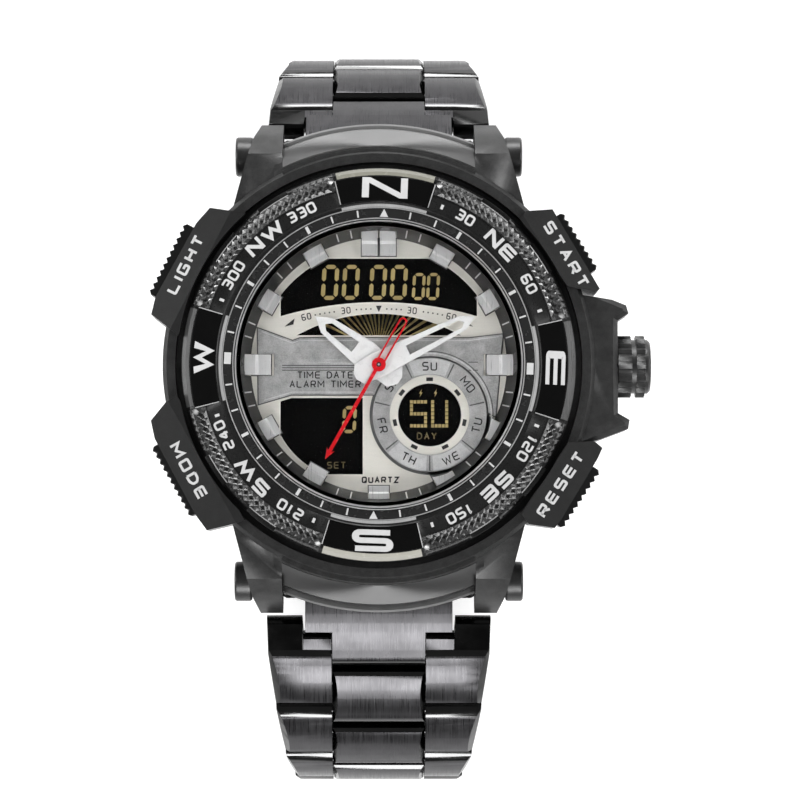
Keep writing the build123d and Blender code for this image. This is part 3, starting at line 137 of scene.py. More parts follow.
# How far the roughness wanders, as shares of itself
GRAINED_SHARES, BRUSHED_SHARES, POLISHED_SHARES = (0.85, 1.15), (0.75, 1.3), (0.75, 1.5)
TURNED_SHARES, COATED_SHARES = (0.9, 1.15), (0.85, 1.2)
# How far the colour wanders to both sides, as a share of itself
POLISHED_SPREAD_SHARE, TURNED_SPREAD_SHARE = 0.06, 0.05
# Strength of the lathe's rings, and their direction as a share of a turn
RING_STRENGTH, RING_TURN_SHARE = 1.0, 0.25
COAT_ROUGHNESS = 0.05
GLASS_INDEX, GLASS_ROUGHNESS, GLASS_SMEAR = 1.08, 0.02, 0.03


class Paint:
    """A procedural material: nodes are added one by one and end in a Principled shader."""

    def __init__(self, colour, metallic, roughness, sockets=()):
        self.material = bpy.data.materials.new("paint")
        self.material.use_nodes = True
        self.tree = self.material.node_tree
        self.shader = self.tree.nodes["Principled BSDF"]
        values = {"Base Color": (*colour, 1), "Metallic": metallic, "Roughness": roughness, **dict(sockets)}
        for socket, value in values.items():
            self.shader.inputs[socket].default_value = value
        self.place = self.add("ShaderNodeTexCoord").outputs["Object"]

    def add(self, kind, inputs=(), **settings):
        node = self.tree.nodes.new(kind)
        for name, value in settings.items():
            setattr(node, name, value)
        for key, value in dict(inputs).items():
            if isinstance(value, bpy.types.NodeSocket):
                self.tree.links.new(value, node.inputs[key])
            else:
                node.inputs[key].default_value = value
        return node

    def link(self, output, socket):
        self.tree.links.new(output, self.shader.inputs[socket])

    def scaled(self, per_mm, turn=0.0):
        """Coordinates in repeats per millimetre along each axis, after a turn about X."""
        turned = self.add("ShaderNodeMapping", {"Vector": self.place, "Rotation": (turn, 0, 0)})
        size = tuple(value / MM for value in per_mm)
        mapping = self.add("ShaderNodeMapping", {"Vector": turned.outputs["Vector"], "Scale": size})
        return mapping.outputs["Vector"]

    def noise(self, vector, detail=GRAIN_DETAIL, strength=GRAIN_STRENGTH):
        inputs = {"Vector": vector, "Scale": 1.0, "Detail": detail, "Roughness": strength}
        return self.add("ShaderNodeTexNoise", inputs).outputs["Fac"]

    def total(self, first, second):
        return self.add("ShaderNodeMath", {0: first, 1: second}, operation="ADD").outputs[0]

    def greater(self, first, second):
        return self.add("ShaderNodeMath", {0: first, 1: second}, operation="MAXIMUM").outputs[0]

    def ranged(self, value, low, high, used=NOISE_RANGE):
        """The used stretch of a value, spread from low to high."""
        inputs = {"Value": value, "From Min": used[0], "From Max": used[1], "To Min": low, "To Max": high}
        return self.add("ShaderNodeMapRange", inputs).outputs["Result"]

    def tinted(self, value, dark, light):
        """Colour between two shades by a value from 0 to 1."""
        ramp = self.add("ShaderNodeValToRGB", {"Fac": value})
        ramp.color_ramp.elements[0].color = (*dark, 1)
        ramp.color_ramp.elements[1].color = (*light, 1)
        return ramp.outputs["Color"]

    def shade(self, share, colour, spread):
        """The base colour wanders by a spread to both sides."""
        self.link(self.tinted(share, shaded(colour, 1 - spread), shaded(colour, 1 + spread)), "Base Color")

    def wander(self, value, roughness, shares):
        """The roughness follows a value, between two shares of itself."""
        low, high = shares
        self.link(self.ranged(value, low * roughness, high * roughness), "Roughness")

    def bump(self, height, depth):
        node = self.add("ShaderNodeBump", {"Height": height, "Distance": depth * MM})
        self.link(node.outputs["Normal"], "Normal")


def even(size):
    """The same size along all three axes."""
    return (size, size, size)


def grey(value):
    return (value, value, value)


def shaded(colour, factor):
    return tuple(channel * factor for channel in colour)


def grained(colour, metallic, roughness, grain=CASE_GRAIN, depth=CASE_GRAIN_DEPTH, spread=0.12):
    """Even grain, such as blasted metal, moulded plastic or rubber."""
    paint = Paint(colour, metallic, roughness)
    speckle = paint.noise(paint.scaled(even(grain)))
    cloud = paint.noise(paint.scaled(even(grain * CLOUD_SHARE)), CLOUD_DETAIL)
    paint.shade(paint.ranged(paint.total(speckle, cloud), 0.0, 1.0, SUM_RANGE), colour, spread)
    paint.wander(speckle, roughness, GRAINED_SHARES)
    paint.bump(speckle, depth)
    return paint.material


def brushed(colour, roughness, brush=(BRUSH_ACROSS, BRUSH_ALONG, BRUSH_ALONG), turn=0.0, depth=BRUSH_DEPTH,
            spread=0.16, metallic=1.0):
    """Metal brushed in one direction: short streaks, long along the brush."""
    paint = Paint(colour, metallic, roughness)
    streaks = paint.noise(paint.scaled(brush, turn), STREAK_DETAIL, STREAK_STRENGTH)
    cloud = paint.noise(paint.scaled(even(STEEL_CLOUD)), CLOUD_DETAIL)
    paint.shade(paint.ranged(paint.total(streaks, cloud), 0.0, 1.0, SUM_RANGE), colour, spread)
    paint.wander(streaks, roughness, BRUSHED_SHARES)
    paint.bump(streaks, depth)
    return paint.material


def polished(colour, roughness):
    """Polished metal with faint hairlines and smudges."""
    paint = Paint(colour, 1.0, roughness)
    smudge = paint.noise(paint.scaled(even(SMUDGE_GRAIN)), SMUDGE_DETAIL)
    hairline = paint.noise(paint.scaled((HAIRLINE_ACROSS, HAIRLINE_ACROSS, HAIRLINE_ALONG)), HAIRLINE_DETAIL)
    paint.wander(smudge, roughness, POLISHED_SHARES)
    paint.shade(paint.ranged(smudge, 0.0, 1.0), colour, POLISHED_SPREAD_SHARE)
    paint.bump(hairline, HAIRLINE_DEPTH)
    return paint.material


def turned(colour, roughness):
    """Metal polished on a lathe: fine rings about Z that spread a light across them."""
    streak = {"Anisotropic": RING_STRENGTH, "Anisotropic Rotation": RING_TURN_SHARE}
    paint = Paint(colour, 1.0, roughness, streak)
    smudge = paint.noise(paint.scaled(even(SMUDGE_GRAIN)), SMUDGE_DETAIL)
    paint.wander(smudge, roughness, TURNED_SHARES)
    paint.shade(paint.ranged(smudge, 0.0, 1.0), colour, TURNED_SPREAD_SHARE)
    rings = paint.add("ShaderNodeTangent", direction_type="RADIAL", axis="Z")
    paint.link(rings.outputs["Tangent"], "Tangent")
    return paint.material


def coated(colour, roughness, coat=0.0, spread=0.05, specular=0.5):
    """Paint, enamel or printing ink with a slight orange peel."""
    gloss = {"Coat Weight": coat, "Coat Roughness": COAT_ROUGHNESS, "Specular IOR Level": specular}
    paint = Paint(colour, 0.0, roughness, gloss)
    bumps = paint.noise(paint.scaled(even(PEEL_GRAIN)), CLOUD_DETAIL)
    cloud = paint.noise(paint.scaled(even(PAINT_CLOUD)))
    paint.shade(paint.ranged(cloud, 0.0, 1.0), colour, spread)
    paint.wander(cloud, roughness, COATED_SHARES)
    paint.bump(bumps, PEEL_DEPTH)
    return paint.material


def clear_glass():
    """Glass with faint smears."""
    paint = Paint(grey(1), 0.0, GLASS_ROUGHNESS, {"Transmission Weight": 1.0, "IOR": GLASS_INDEX})
    smear = paint.noise(paint.scaled(even(SMUDGE_GRAIN)))
    paint.link(paint.ranged(smear, 0.0, GLASS_SMEAR), "Roughness")
    return paint.material


LINK_STEEL, LINK_ROUGHNESS, LINK_SPREAD = (0.064, 0.063, 0.066), 0.30, 0.22
LCD_GOLD = (0.36, 0.28, 0.11)
CREAM = (0.78, 0.76, 0.70)
BRUSHED_DIAL = {"brush": (DIAL_BRUSH_ALONG, DIAL_BRUSH_ACROSS, DIAL_BRUSH_ALONG), "depth": DIAL_BRUSH_DEPTH}
SOFT = {"grain": SOFT_GRAIN, "depth": SOFT_GRAIN_DEPTH}
SILVER_GRAIN = {"grain": DIAL_GRAIN, "depth": DIAL_GRAIN_DEPTH}
PAINTS = {
    "body_grey": grained(grey(0.058), 0.75, 0.38, spread=0.22),
    "guard_black": grained(grey(0.021), 0.4, 0.36),
    "button_black": grained(grey(0.012), 0.3, 0.34, **SOFT),
    "bezel_black": grained(grey(0.020), 0.6, 0.30, **SOFT),
    "knurl_black": grained(grey(0.13), 1.0, 0.30, **SOFT),
    "barrel_steel": turned(grey(0.14), 0.38),
    "link_polish": polished(grey(0.085), 0.14),
    "link_side": polished(grey(0.03), 0.2),
    "bright_steel": polished(grey(0.42), 0.12),
    "pin_steel": polished(grey(0.16), 0.22),
    "clasp_steel": brushed(grey(0.12), 0.28),
    "case_back_steel": brushed(grey(0.26), 0.25),
    "edge_line": brushed(grey(0.42), 0.35, metallic=0.3),
    "strip_cream": coated((0.42, 0.41, 0.36), 0.25, 0.5),
    "strip_dim": coated((0.25, 0.245, 0.205), 0.25, 0.5),
    "strip_steel": brushed(grey(0.13), 0.30, metallic=0.6),
    "tile_black": coated(grey(0.003), 0.1, specular=0.2),
    "tick_grey": coated(grey(0.016), 0.25),
    "ink_white": coated(grey(0.56), 0.4),
    "ink_black": coated(grey(0.012), 0.5),
    "dial_cream": brushed(CREAM, 0.42, spread=0.05, metallic=0.35, **BRUSHED_DIAL),
    "dial_grey": grained(grey(0.47), 0.6, 0.42, spread=0.28, **SILVER_GRAIN),
    "dial_light": grained(grey(0.66), 0.5, 0.40, spread=0.16, **SILVER_GRAIN),
    # Dark grey for grooves, and for painted shade round the hour blocks, the bridge plate and the subdial
    "dial_groove_and_shade": grained(grey(0.13), 0.5, 0.45, **SOFT),
    "edge_cream": coated((0.80, 0.78, 0.72), 0.30),
    "flange_grey": grained(grey(0.032), 0.3, 0.45, **SOFT),
    "marker_grey": brushed(grey(0.62), 0.32, spread=0.06, metallic=0.3),
    "lcd_black": coated(grey(0.003), 0.12, specular=0.15),
    "lcd_gold": coated(LCD_GOLD, 0.45),
    "lcd_dim": coated(shaded(LCD_GOLD, 0.3), 0.5),
    "hand_white": coated(grey(0.74), 0.28, 0.2, spread=0.02),
    "hand_red": coated((0.60, 0.006, 0.012), 0.25, 0.3),
    "rubber": grained(grey(0.02), 0.0, 0.7),
    "nylon": grained(grey(0.34), 0.0, 0.5, **SOFT),
    "movement": grained(grey(0.08), 0.0, 0.5),
    "board_green": grained((0.02, 0.12, 0.05), 0.0, 0.4, **SOFT),
    "brass": polished((0.70, 0.52, 0.22), 0.25),
    "battery_steel": polished(grey(0.7), 0.2),
    "crystal": clear_glass(),
}
for title, paint in PAINTS.items():
    paint.name = title


# Pieces: how close vertices are joined, and the angles from which faces are merged, edges are sharp and a
# link's faces count as turned away
WELD = 0.001
FLAT_ANGLE = 1.0
SHARP_ANGLE = 32.0
FACE_ANGLE = 24.0
ROUNDING_SEGMENTS = 2


def named_material(material):
    return PAINTS[material] if isinstance(material, str) else material


def add_piece(name, mesh, node, material, slot):
    """A piece that moves with a CAD node."""
    piece = bpy.data.objects.new(name, mesh)
    bpy.context.scene.collection.objects.link(piece)
    mesh.materials.clear()
    mesh.materials.append(named_material(material))
    mesh.polygons.foreach_set("use_smooth", [True] * len(mesh.polygons))
    mesh.set_sharp_from_angle(angle=radians(SHARP_ANGLE))
    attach(piece, frame["nodes"][node]["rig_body"])
    return piece


def round_edges(piece, width):
    """A bevel on the sharp edges; its width is in millimetres."""
    bevel = piece.modifiers.new("rounded edges", "BEVEL")
    bevel.width = width * MM
    bevel.segments = ROUNDING_SEGMENTS
    bevel.limit_method = "ANGLE"
    bevel.angle_limit = radians(SHARP_ANGLE)
    bevel.harden_normals = True


def refine(node, material, slot, rounding=0.0, reshape=None):
    """A finer copy of a CAD node: vertices joined, flat faces merged, hard edges rounded."""
    mesh = frame["nodes"][node].data.copy()
    shape = bmesh.new()
    shape.from_mesh(mesh)
    bmesh.ops.remove_doubles(shape, verts=shape.verts, dist=WELD * MM)
    bmesh.ops.dissolve_limit(shape, angle_limit=radians(FLAT_ANGLE), verts=shape.verts, edges=shape.edges)
    if reshape:
        reshape(shape)
    shape.to_mesh(mesh)
    shape.free()
    piece = add_piece(f"fine_{node}", mesh, node, material, slot)
    if rounding:
        round_edges(piece, rounding)
    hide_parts(node)
    return piece


def repaint(node, material):
    """A CAD node that keeps its shape gets its finish."""
    mesh = frame["nodes"][node].data
    mesh.materials.clear()
    mesh.materials.append(PAINTS[material])


def solid_mesh(name, points, faces):
    """A mesh from points in millimetres of the row's frame and faces of point numbers."""
    mesh = bpy.data.meshes.new(name)
    mesh.from_pydata([to_metres(point) for point in points], [], faces)
    mesh.update()
    shape = bmesh.new()
    shape.from_mesh(mesh)
    bmesh.ops.recalc_face_normals(shape, faces=shape.faces)
    shape.to_mesh(mesh)
    shape.free()
    return mesh


def relief(columns, rows, place, base, peak=0.0):
    """A closed slab laid by place(share along, share across, height), with a diamond lattice of pyramids."""
    points, faces = [], []
    for top in (True, False):
        for row in range(rows + 1):
            for column in range(columns + 1):
                inside = 0 < row < rows and 0 < column < columns
                raised = peak if inside and (row + column) % 2 else 0
                points.append(place(column / columns, row / rows, base + raised if top else 0))
    wide = columns + 1
    under = wide * (rows + 1)
    for row in range(rows):
        for column in range(columns):
            a = row * wide + column
            b, c, d = a + 1, a + wide + 1, a + wide
            faces += [(a, b, c), (a, c, d)] if (row + column) % 2 else [(a, b, d), (b, c, d)]
            faces.append((under + a, under + d, under + c, under + b))
    # The points round the slab's top, once round
    rim = [*range(wide), *range(2 * wide - 1, under, wide), *range(under - 2, under - wide - 1, -1),
           *range(under - 2 * wide, 0, -wide)]
    for here, there in zip(rim, rim[1:] + rim[:1]):
        faces.append((there, here, under + here, under + there))
    return points, faces


def merged(parts):
    """Points and faces of several slabs as one list of each."""
    points, faces = [], []
    for more_points, more_faces in parts:
        start = len(points)
        points += more_points
        faces += [tuple(start + index for index in face) for face in more_faces]
    return points, faces


def add_relief(name, parts, node, material, slot):
    """A piece made of slabs."""
    return add_piece(name, solid_mesh(name, *merged(parts)), node, material, slot)


# Camera: at the photograph's angle and distance, with the hub where the photograph has it
CAMERA_DISTANCE = 420.0
CAMERA_TILT = 3.5
FRAME_WIDTH = 100.0
SENSOR = 36.0
AIM_HEIGHT = 10.0
CLIP_TIMES = 10
CLIP_DISTANCE = CLIP_TIMES * CAMERA_DISTANCE
PHOTO_PIXELS = 800
HUB_PIXELS = (378.8, 365.0)


def make_camera():
    """A camera tilted towards 6, shifted so that the hub falls where the photograph has it."""
    data = bpy.data.cameras.new("camera")
    camera = bpy.data.objects.new("camera", data)
    bpy.context.scene.collection.objects.link(camera)
    bpy.context.scene.camera = camera
    tilt = radians(CAMERA_TILT)
    back = Vector((0, -sin(tilt), cos(tilt)))
    camera.location = to_metres(in_head(0, 0, AIM_HEIGHT) + back * CAMERA_DISTANCE)
    camera.rotation_euler = (tilt, 0, 0)
    data.sensor_width = SENSOR
    data.lens = SENSOR * CAMERA_DISTANCE / FRAME_WIDTH
    data.shift_x = 0.5 - HUB_PIXELS[0] / PHOTO_PIXELS
    data.shift_y = HUB_PIXELS[1] / PHOTO_PIXELS - 0.5
    data.clip_end = CLIP_DISTANCE * MM


# Light: soft boxes by name, place, width and height in millimetres and power in watts
LAMP_TARGET = (0, 10, 50)
LAMPS = [
    ("key", (0, 510, 260), (240, 220), 2.3),
    ("fill", (0, -400, 390), (220, 220), 1.9),
    ("left", (-460, 60, 340), (240, 400), 1.7),
    ("right", (460, 60, 340), (240, 400), 1.5),
]


def area_light(name, place, size, power):
    """A soft box that faces the target."""
    data = bpy.data.lights.new(name, "AREA")
    data.shape = "RECTANGLE"
    data.size, data.size_y = (side * MM for side in size)
    data.energy = power
    light = bpy.data.objects.new(name, data)
    bpy.context.scene.collection.objects.link(light)
    light.location = to_metres(place)
    light.rotation_euler = (Vector(LAMP_TARGET) - Vector(place)).to_track_quat("-Z", "Y").to_euler()


# Floor and world: white where the camera or a reflection sees them, with the object's shadow kept
FLOOR_SIZE = 4000.0
FLOOR_COLOUR = grey(0.85)
FLOOR_ROUGHNESS = 0.9
FLOOR_GLOW = 0.35
WORLD_LEVEL = 0.12


def make_floor():
    half = FLOOR_SIZE / 2
    corners = [(-half, -half, 0), (half, -half, 0), (half, half, 0), (-half, half, 0)]
    mesh = solid_mesh("floor", corners, [(0, 1, 2, 3)])
    floor = bpy.data.objects.new("floor", mesh)
    bpy.context.scene.collection.objects.link(floor)
    matt = {"Specular IOR Level": 0.0, "Emission Color": (1, 1, 1, 1)}
    paint = Paint(FLOOR_COLOUR, 0.0, FLOOR_ROUGHNESS, matt)
    paint.material.name = "floor_white"
    rays = paint.add("ShaderNodeLightPath").outputs
    mirrored = paint.greater(rays["Is Glossy Ray"], rays["Is Transmission Ray"])
    seen = paint.greater(rays["Is Camera Ray"], mirrored)
    glow = paint.add("ShaderNodeMath", {0: seen, 1: FLOOR_GLOW}, operation="MULTIPLY")
    paint.link(glow.outputs[0], "Emission Strength")
    mesh.materials.append(paint.material)
    floor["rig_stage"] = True


def make_world():
    world = bpy.data.worlds.new("studio")
    world.use_nodes = True
    world.node_tree.nodes["Background"].inputs["Color"].default_value = (*grey(WORLD_LEVEL), 1)
    bpy.context.scene.world = world


bpy.context.scene.view_settings.view_transform = "Standard"
make_camera()
make_world()
make_floor()
for lamp in LAMPS:
    area_light(*lamp)


# Strokes: each letter is drawn with a round-cornered pen, as polylines of shares of its width and height
GLYPH_SHARES = {
    "0": [[(0, 0), (1, 0), (1, 1), (0, 1), (0, 0)]],
    "1": [[(0.35, 0.8), (0.65, 1), (0.65, 0)]],
    "2": [[(0, 1), (1, 1), (1, 0.5), (0, 0.5), (0, 0), (1, 0)]],
    "3": [[(0, 1), (1, 1), (1, 0), (0, 0)], [(0.25, 0.5), (1, 0.5)]],
    "4": [[(0.75, 0), (0.75, 1), (0, 0.3), (1, 0.3)]],
    "5": [[(1, 1), (0, 1), (0, 0.5), (1, 0.5), (1, 0), (0, 0)]],
    "6": [[(1, 1), (0, 1), (0, 0), (1, 0), (1, 0.5), (0, 0.5)]],
    "A": [[(0, 0), (0.5, 1), (1, 0)], [(0.22, 0.36), (0.78, 0.36)]],
    "D": [[(0, 0), (0, 1)], [(0, 1), (0.6, 1), (1, 0.75), (1, 0.25), (0.6, 0), (0, 0)]],
    "E": [[(1, 1), (0, 1), (0, 0), (1, 0)], [(0, 0.5), (1, 0.5)]],
    "F": [[(1, 1), (0, 1), (0, 0)], [(0, 0.5), (0.8, 0.5)]],
    "G": [[(1, 1), (0, 1), (0, 0), (1, 0), (1, 0.5), (0.5, 0.5)]],
    "H": [[(0, 0), (0, 1)], [(1, 0), (1, 1)], [(0, 0.5), (1, 0.5)]],
    "I": [[(0.5, 0), (0.5, 1)]],
    "L": [[(0, 1), (0, 0), (1, 0)]],
    "M": [[(0, 0), (0, 1), (0.5, 0.35), (1, 1), (1, 0)]],
    "O": [[(0, 0), (1, 0), (1, 1), (0, 1), (0, 0)]],
    "Q": [[(0, 0), (1, 0), (1, 1), (0, 1), (0, 0)], [(0.6, 0.3), (1.0, -0.1)]],
    "R": [[(0, 0), (0, 1), (1, 1), (1, 0.45), (0, 0.45)], [(0.55, 0.45), (1, 0)]],
    "S": [[(1, 1), (0, 1), (0, 0.5), (1, 0.5), (1, 0), (0, 0)]],
    "T": [[(0, 1), (1, 1)], [(0.5, 1), (0.5, 0)]],
    "U": [[(0, 1), (0, 0), (1, 0), (1, 1)]],
    "W": [[(0, 1), (0.24, 0), (0.5, 0.8), (0.76, 0), (1, 1)]],
    "Z": [[(0, 1), (1, 1), (0, 0), (1, 0)]],
    "Y": [[(0, 1), (0.5, 0.5), (1, 1)], [(0.5, 0.5), (0.5, 0)]],
}
WIDTH_SHARES = {"I": 0.15, "1": 0.7, "M": 1.25, "W": 1.4, " ": 0.6}
SHARP_LETTERS = "MWAYZ"
DIAGONAL_SHARE, DIAGONAL_END_SHARE = 1.4, 1.15
CORNER_STEPS = 4
CLOSE_ENOUGH = 1e-6
MITRE_LIMIT = 2.2
# How far each print stands out, and how deep all prints reach into what carries them
BEZEL_INK, TILE_INK, FLANGE_INK, LEGEND_INK = 0.04, 0.09, 0.05, 0.04
DIAL_INK, DISPLAY_INK = 0.012, 0.015
INK_SINK = 0.03


def rounded_path(points, radius):
    """A polyline whose inner corners are arcs; the radius shrinks on short runs."""
    closed = (Vector(points[0]) - Vector(points[-1])).length < CLOSE_ENOUGH
    corners = [Vector(point) for point in (points[:-1] if closed else points)]
    count = len(corners)
    path = []
    for index, corner in enumerate(corners):
        if not closed and index in (0, count - 1):
            path.append(corner)
            continue
        before, after = corners[index - 1], corners[(index + 1) % count]
        reach = min(radius, (before - corner).length / 2, (after - corner).length / 2)
        first = corner + (before - corner).normalized() * reach
        last = corner + (after - corner).normalized() * reach
        for step in range(CORNER_STEPS + 1):
            t = step / CORNER_STEPS
            path.append((1 - t) ** 2 * first + 2 * t * (1 - t) * corner + t ** 2 * last)
    kept = [point for point, before in zip(path, [None] + path) if before is None
            or (point - before).length > CLOSE_ENOUGH]
    if closed and (kept[0] - kept[-1]).length < CLOSE_ENOUGH:
        kept.pop()
    return kept, closed


def stroke_sides(path, closed, half):
    """The left and right edge of a pen line, mitred at its bends."""
    count = len(path)
    left, right = [], []
    for index, point in enumerate(path):
        before = path[index - 1] if index or closed else None
        after = path[(index + 1) % count] if index < count - 1 or closed else None
        runs = [(end - start).normalized() for start, end in ((before, point), (point, after))
                if start is not None and end is not None and (end - start).length > CLOSE_ENOUGH]
        normals = [Vector((-run.y, run.x)) for run in runs]
        side = sum(normals, Vector((0, 0))).normalized()
        reach = half / max(side.dot(normals[0]), 1 / MITRE_LIMIT)
        left.append(point + side * reach)
        right.append(point - side * reach)
    return left, right


def letter_n(width, height, pen):
    """The outline of an N whose diagonal runs from corner to corner."""
    tip, drop = DIAGONAL_END_SHARE * pen, DIAGONAL_SHARE * pen
    return [(0, 0), (0, height), (tip, height), (width - pen, drop), (width - pen, height), (width, height),
            (width, 0), (width - tip, 0), (pen, height - drop), (pen, 0)]


def arc_points(start, middle, end, steps):
    """Points of the circular arc through three points."""
    (ax, ay), (bx, by), (cx, cy) = start, middle, end
    twice = 2 * (ax * (by - cy) + bx * (cy - ay) + cx * (ay - by))
    a2, b2, c2 = ax * ax + ay * ay, bx * bx + by * by, cx * cx + cy * cy
    x = (a2 * (by - cy) + b2 * (cy - ay) + c2 * (ay - by)) / twice
    y = (a2 * (cx - bx) + b2 * (ax - cx) + c2 * (bx - ax)) / twice
    first, last = atan2(ay - y, ax - x), atan2(cy - y, cx - x)
    turn = radians(FULL_TURN)
    sweep = (last - first) % turn
    if (atan2(by - y, bx - x) - first) % turn > sweep:
        sweep -= turn
    radius = sqrt((ax - x) ** 2 + (ay - y) ** 2)
    return [(x + radius * cos(first + sweep * step / steps), y + radius * sin(first + sweep * step / steps))
            for step in range(steps + 1)]


class Print:
    """Flat shapes gathered in one mesh and raised a little from the surface that they lie on."""

    def __init__(self, thickness):
        self.points, self.faces = [], []
        self.thickness = thickness

    def prism(self, outline, place):
        """A closed outline of (x, y) points, laid on a surface by a function of x, y and height."""
        start, count = len(self.points), len(outline)
        self.points += [place(x, y, self.thickness) for x, y in outline]
        self.points += [place(x, y, -INK_SINK) for x, y in outline]
        self.faces.append(tuple(start + i for i in range(count)))
        self.faces.append(tuple(start + count + i for i in reversed(range(count))))
        for i in range(count):
            j = (i + 1) % count
            self.faces.append((start + j, start + i, start + count + i, start + count + j))

    def stroke(self, points, width, place, radius=0.0):
        """A pen line along a polyline whose corners are rounded by a radius."""
        path, closed = rounded_path(points, radius)
        left, right = stroke_sides(path, closed, width / 2)
        start, count = len(self.points), len(path)
        self.points += [place(x, y, self.thickness) for x, y in left + right]
        self.points += [place(x, y, -INK_SINK) for x, y in left + right]
        a, b, c, d = (start + share * count for share in range(4))
        steps = count if closed else count - 1
        for i in range(steps):
            j = (i + 1) % count
            self.faces += [(a + i, b + i, b + j, a + j), (c + j, d + j, d + i, c + i),
                           (a + j, c + j, c + i, a + i), (b + i, d + i, d + j, b + j)]
        if not closed:
            last = count - 1
            self.faces += [(a, c, d, b), (a + last, b + last, d + last, c + last)]

    def text(self, words, height, place, pen=0.17, aspect=0.75, gap=0.28, middle=(0.0, 0.0), stretch=1.0,
             corner=0.2):
        """A line of letters about a middle point; pen, widths, gaps and corners are shares of the height."""
        def stretched(x, y, level):
            return place(x * stretch, y, level)

        line = pen * height
        widths = [height * aspect * WIDTH_SHARES.get(letter, 1) for letter in words]
        x = middle[0] - (sum(widths) + gap * height * (len(words) - 1)) / 2
        low = middle[1] - height / 2
        for letter, width in zip(words, widths):
            if letter == "N":
                self.prism([(x + px, low + py) for px, py in letter_n(width, height, line)], stretched)
            for points in GLYPH_SHARES.get(letter, []):
                body = [(x + line / 2 + px * (width - line), low + line / 2 + py * (height - line))
                        for px, py in points]
                self.stroke(body, line, stretched, 0.0 if letter in SHARP_LETTERS else corner * height)
            x += width + gap * height

    def bar(self, x_range, y_range, place):
        """A rectangle."""
        (x0, x1), (y0, y1) = x_range, y_range
        self.prism([(x0, y0), (x1, y0), (x1, y1), (x0, y1)], place)

    def piece(self, name, node, material, slot):
        """The finished print."""
        return add_piece(name, solid_mesh(name, self.points, self.faces), node, material, slot)


def flat_place(centre, level, turn=0.0):
    """Lays x, y on a level plane about a point of the head, after a turn in degrees."""
    angle = radians(turn)

    def place(x, y, height):
        return in_head(centre[0] + x * cos(angle) - y * sin(angle),
                       centre[1] + x * sin(angle) + y * cos(angle), level + height)
    return place


def radial_place(angle, radius, level_at):
    """Lays x, y round the dial at a clockwise angle from 12: y points out, the height follows a surface."""
    out, along = clock_axes(angle)

    def place(x, y, height):
        point = out * (radius + y) + along * x
        return in_head(point.x, point.y, level_at(point.length) + height)
    return place


def ring_place(angles, radii, level_at, centre=(0.0, 0.0)):
    """Lays a share along and a share across on a sector between two clockwise angles and two radii."""
    def place(along, across, height):
        angle = radians(angles[0] + along * (angles[1] - angles[0]))
        radius = radii[0] + across * (radii[1] - radii[0])
        return in_head(centre[0] + radius * sin(angle), centre[1] + radius * cos(angle),
                       level_at(radius) + height)
    return place


# A sector's steps round, in degrees, and its rows across
SECTOR_STEP, SECTOR_ROWS = 2.0, 2


def sector(angles, radii, level_at, thickness, centre=(0.0, 0.0)):
    """A thin slab over a sector of a ring."""
    steps = max(2, round((angles[1] - angles[0]) / SECTOR_STEP))
    return relief(steps, SECTOR_ROWS, ring_place(angles, radii, level_at, centre), thickness)


def level(height):
    """A level surface, for the functions that follow a surface's height."""
    return lambda radius: height


# Bezel: points of its cones as (radius, height), taken from the CAD
BEZEL_TURN = 2.0
BAND_INNER, BAND_OUTER, BAND_FOOT = (20.1, 13.1), (24.1, 12.2), (24.6, 11.5)
RING_INNER, RING_OUTER = (18.05, 13.05), (19.5, 13.25)
RIM_RADII, RIM_LEVEL = (19.52, 19.88), 13.35
FLANGE_INNER, FLANGE_OUTER = (16.0, 9.6), (17.2, 11.8)
TILE_PROUD = 0.1
TILE_ANGLE = 31.0
TILE_RADII = (20.35, 23.45)
STRIP_RADII, STRIP_ANGLE, STRIP_PROUD = (23.58, 24.5), 29.6, 0.12
STRIP_FINISHES = ("strip_dim", "strip_steel", "strip_cream", "strip_steel")
EDGE_LINE = 0.13
EDGE_PROUD = 0.05
KNURL_RADII = (22.2, 23.85, 24.5)
KNURL_PITCH = 0.46
KNURL_HEIGHT = 0.30
KNURL_BASE = 0.1
KNURL_PLAY_ANGLE = 0.4
SLOT_ANGLE = 10.0
SLOTS_PER_QUARTER = 2
SLOT_FILL_RADII, SLOT_FLOOR, SLOT_FILL = (23.3, 23.85), 11.55, 0.75


def slope(inner, outer):
    """The height at a radius, on a cone through two (radius, height) points."""
    def level_at(radius):
        share = (radius - inner[0]) / (outer[0] - inner[0])
        return inner[1] + share * (outer[1] - inner[1])
    return level_at


ring_level = slope(RING_INNER, RING_OUTER)
flange_level = slope(FLANGE_INNER, FLANGE_OUTER)
face_level = slope(BAND_INNER, BAND_OUTER)
foot_level = slope(BAND_OUTER, BAND_FOOT)


def band_level(radius):
    return face_level(radius) if radius < BAND_OUTER[0] else foot_level(radius)


def tile_level(radius):
    return band_level(radius) + TILE_PROUD


def even_count(run, pitch):
    """An even number of steps of about the pitch."""
    return max(2, 2 * round(run / pitch / 2))


def knurl_sector(angles, radii):
    """Knurling on a sector of the bezel's sloping band."""
    middle = (radii[0] + radii[1]) / 2
    columns = even_count(radians(angles[1] - angles[0]) * middle, KNURL_PITCH)
    rows = even_count(radii[1] - radii[0], KNURL_PITCH)
    return relief(columns, rows, ring_place(angles, radii, band_level), KNURL_BASE, KNURL_HEIGHT)


def quarter_angles(quarter):
    """Start and end of the knurling between two tiles, and the two slots cut into its outer edge."""
    start = QUARTER_TURN * quarter + TILE_ANGLE / 2 + BEZEL_TURN
    sweep = QUARTER_TURN - TILE_ANGLE
    slots = [about(start + sweep * (index + 1) / (SLOTS_PER_QUARTER + 1), SLOT_ANGLE)
             for index in range(SLOTS_PER_QUARTER)]
    return start + KNURL_PLAY_ANGLE, start + sweep - KNURL_PLAY_ANGLE, slots


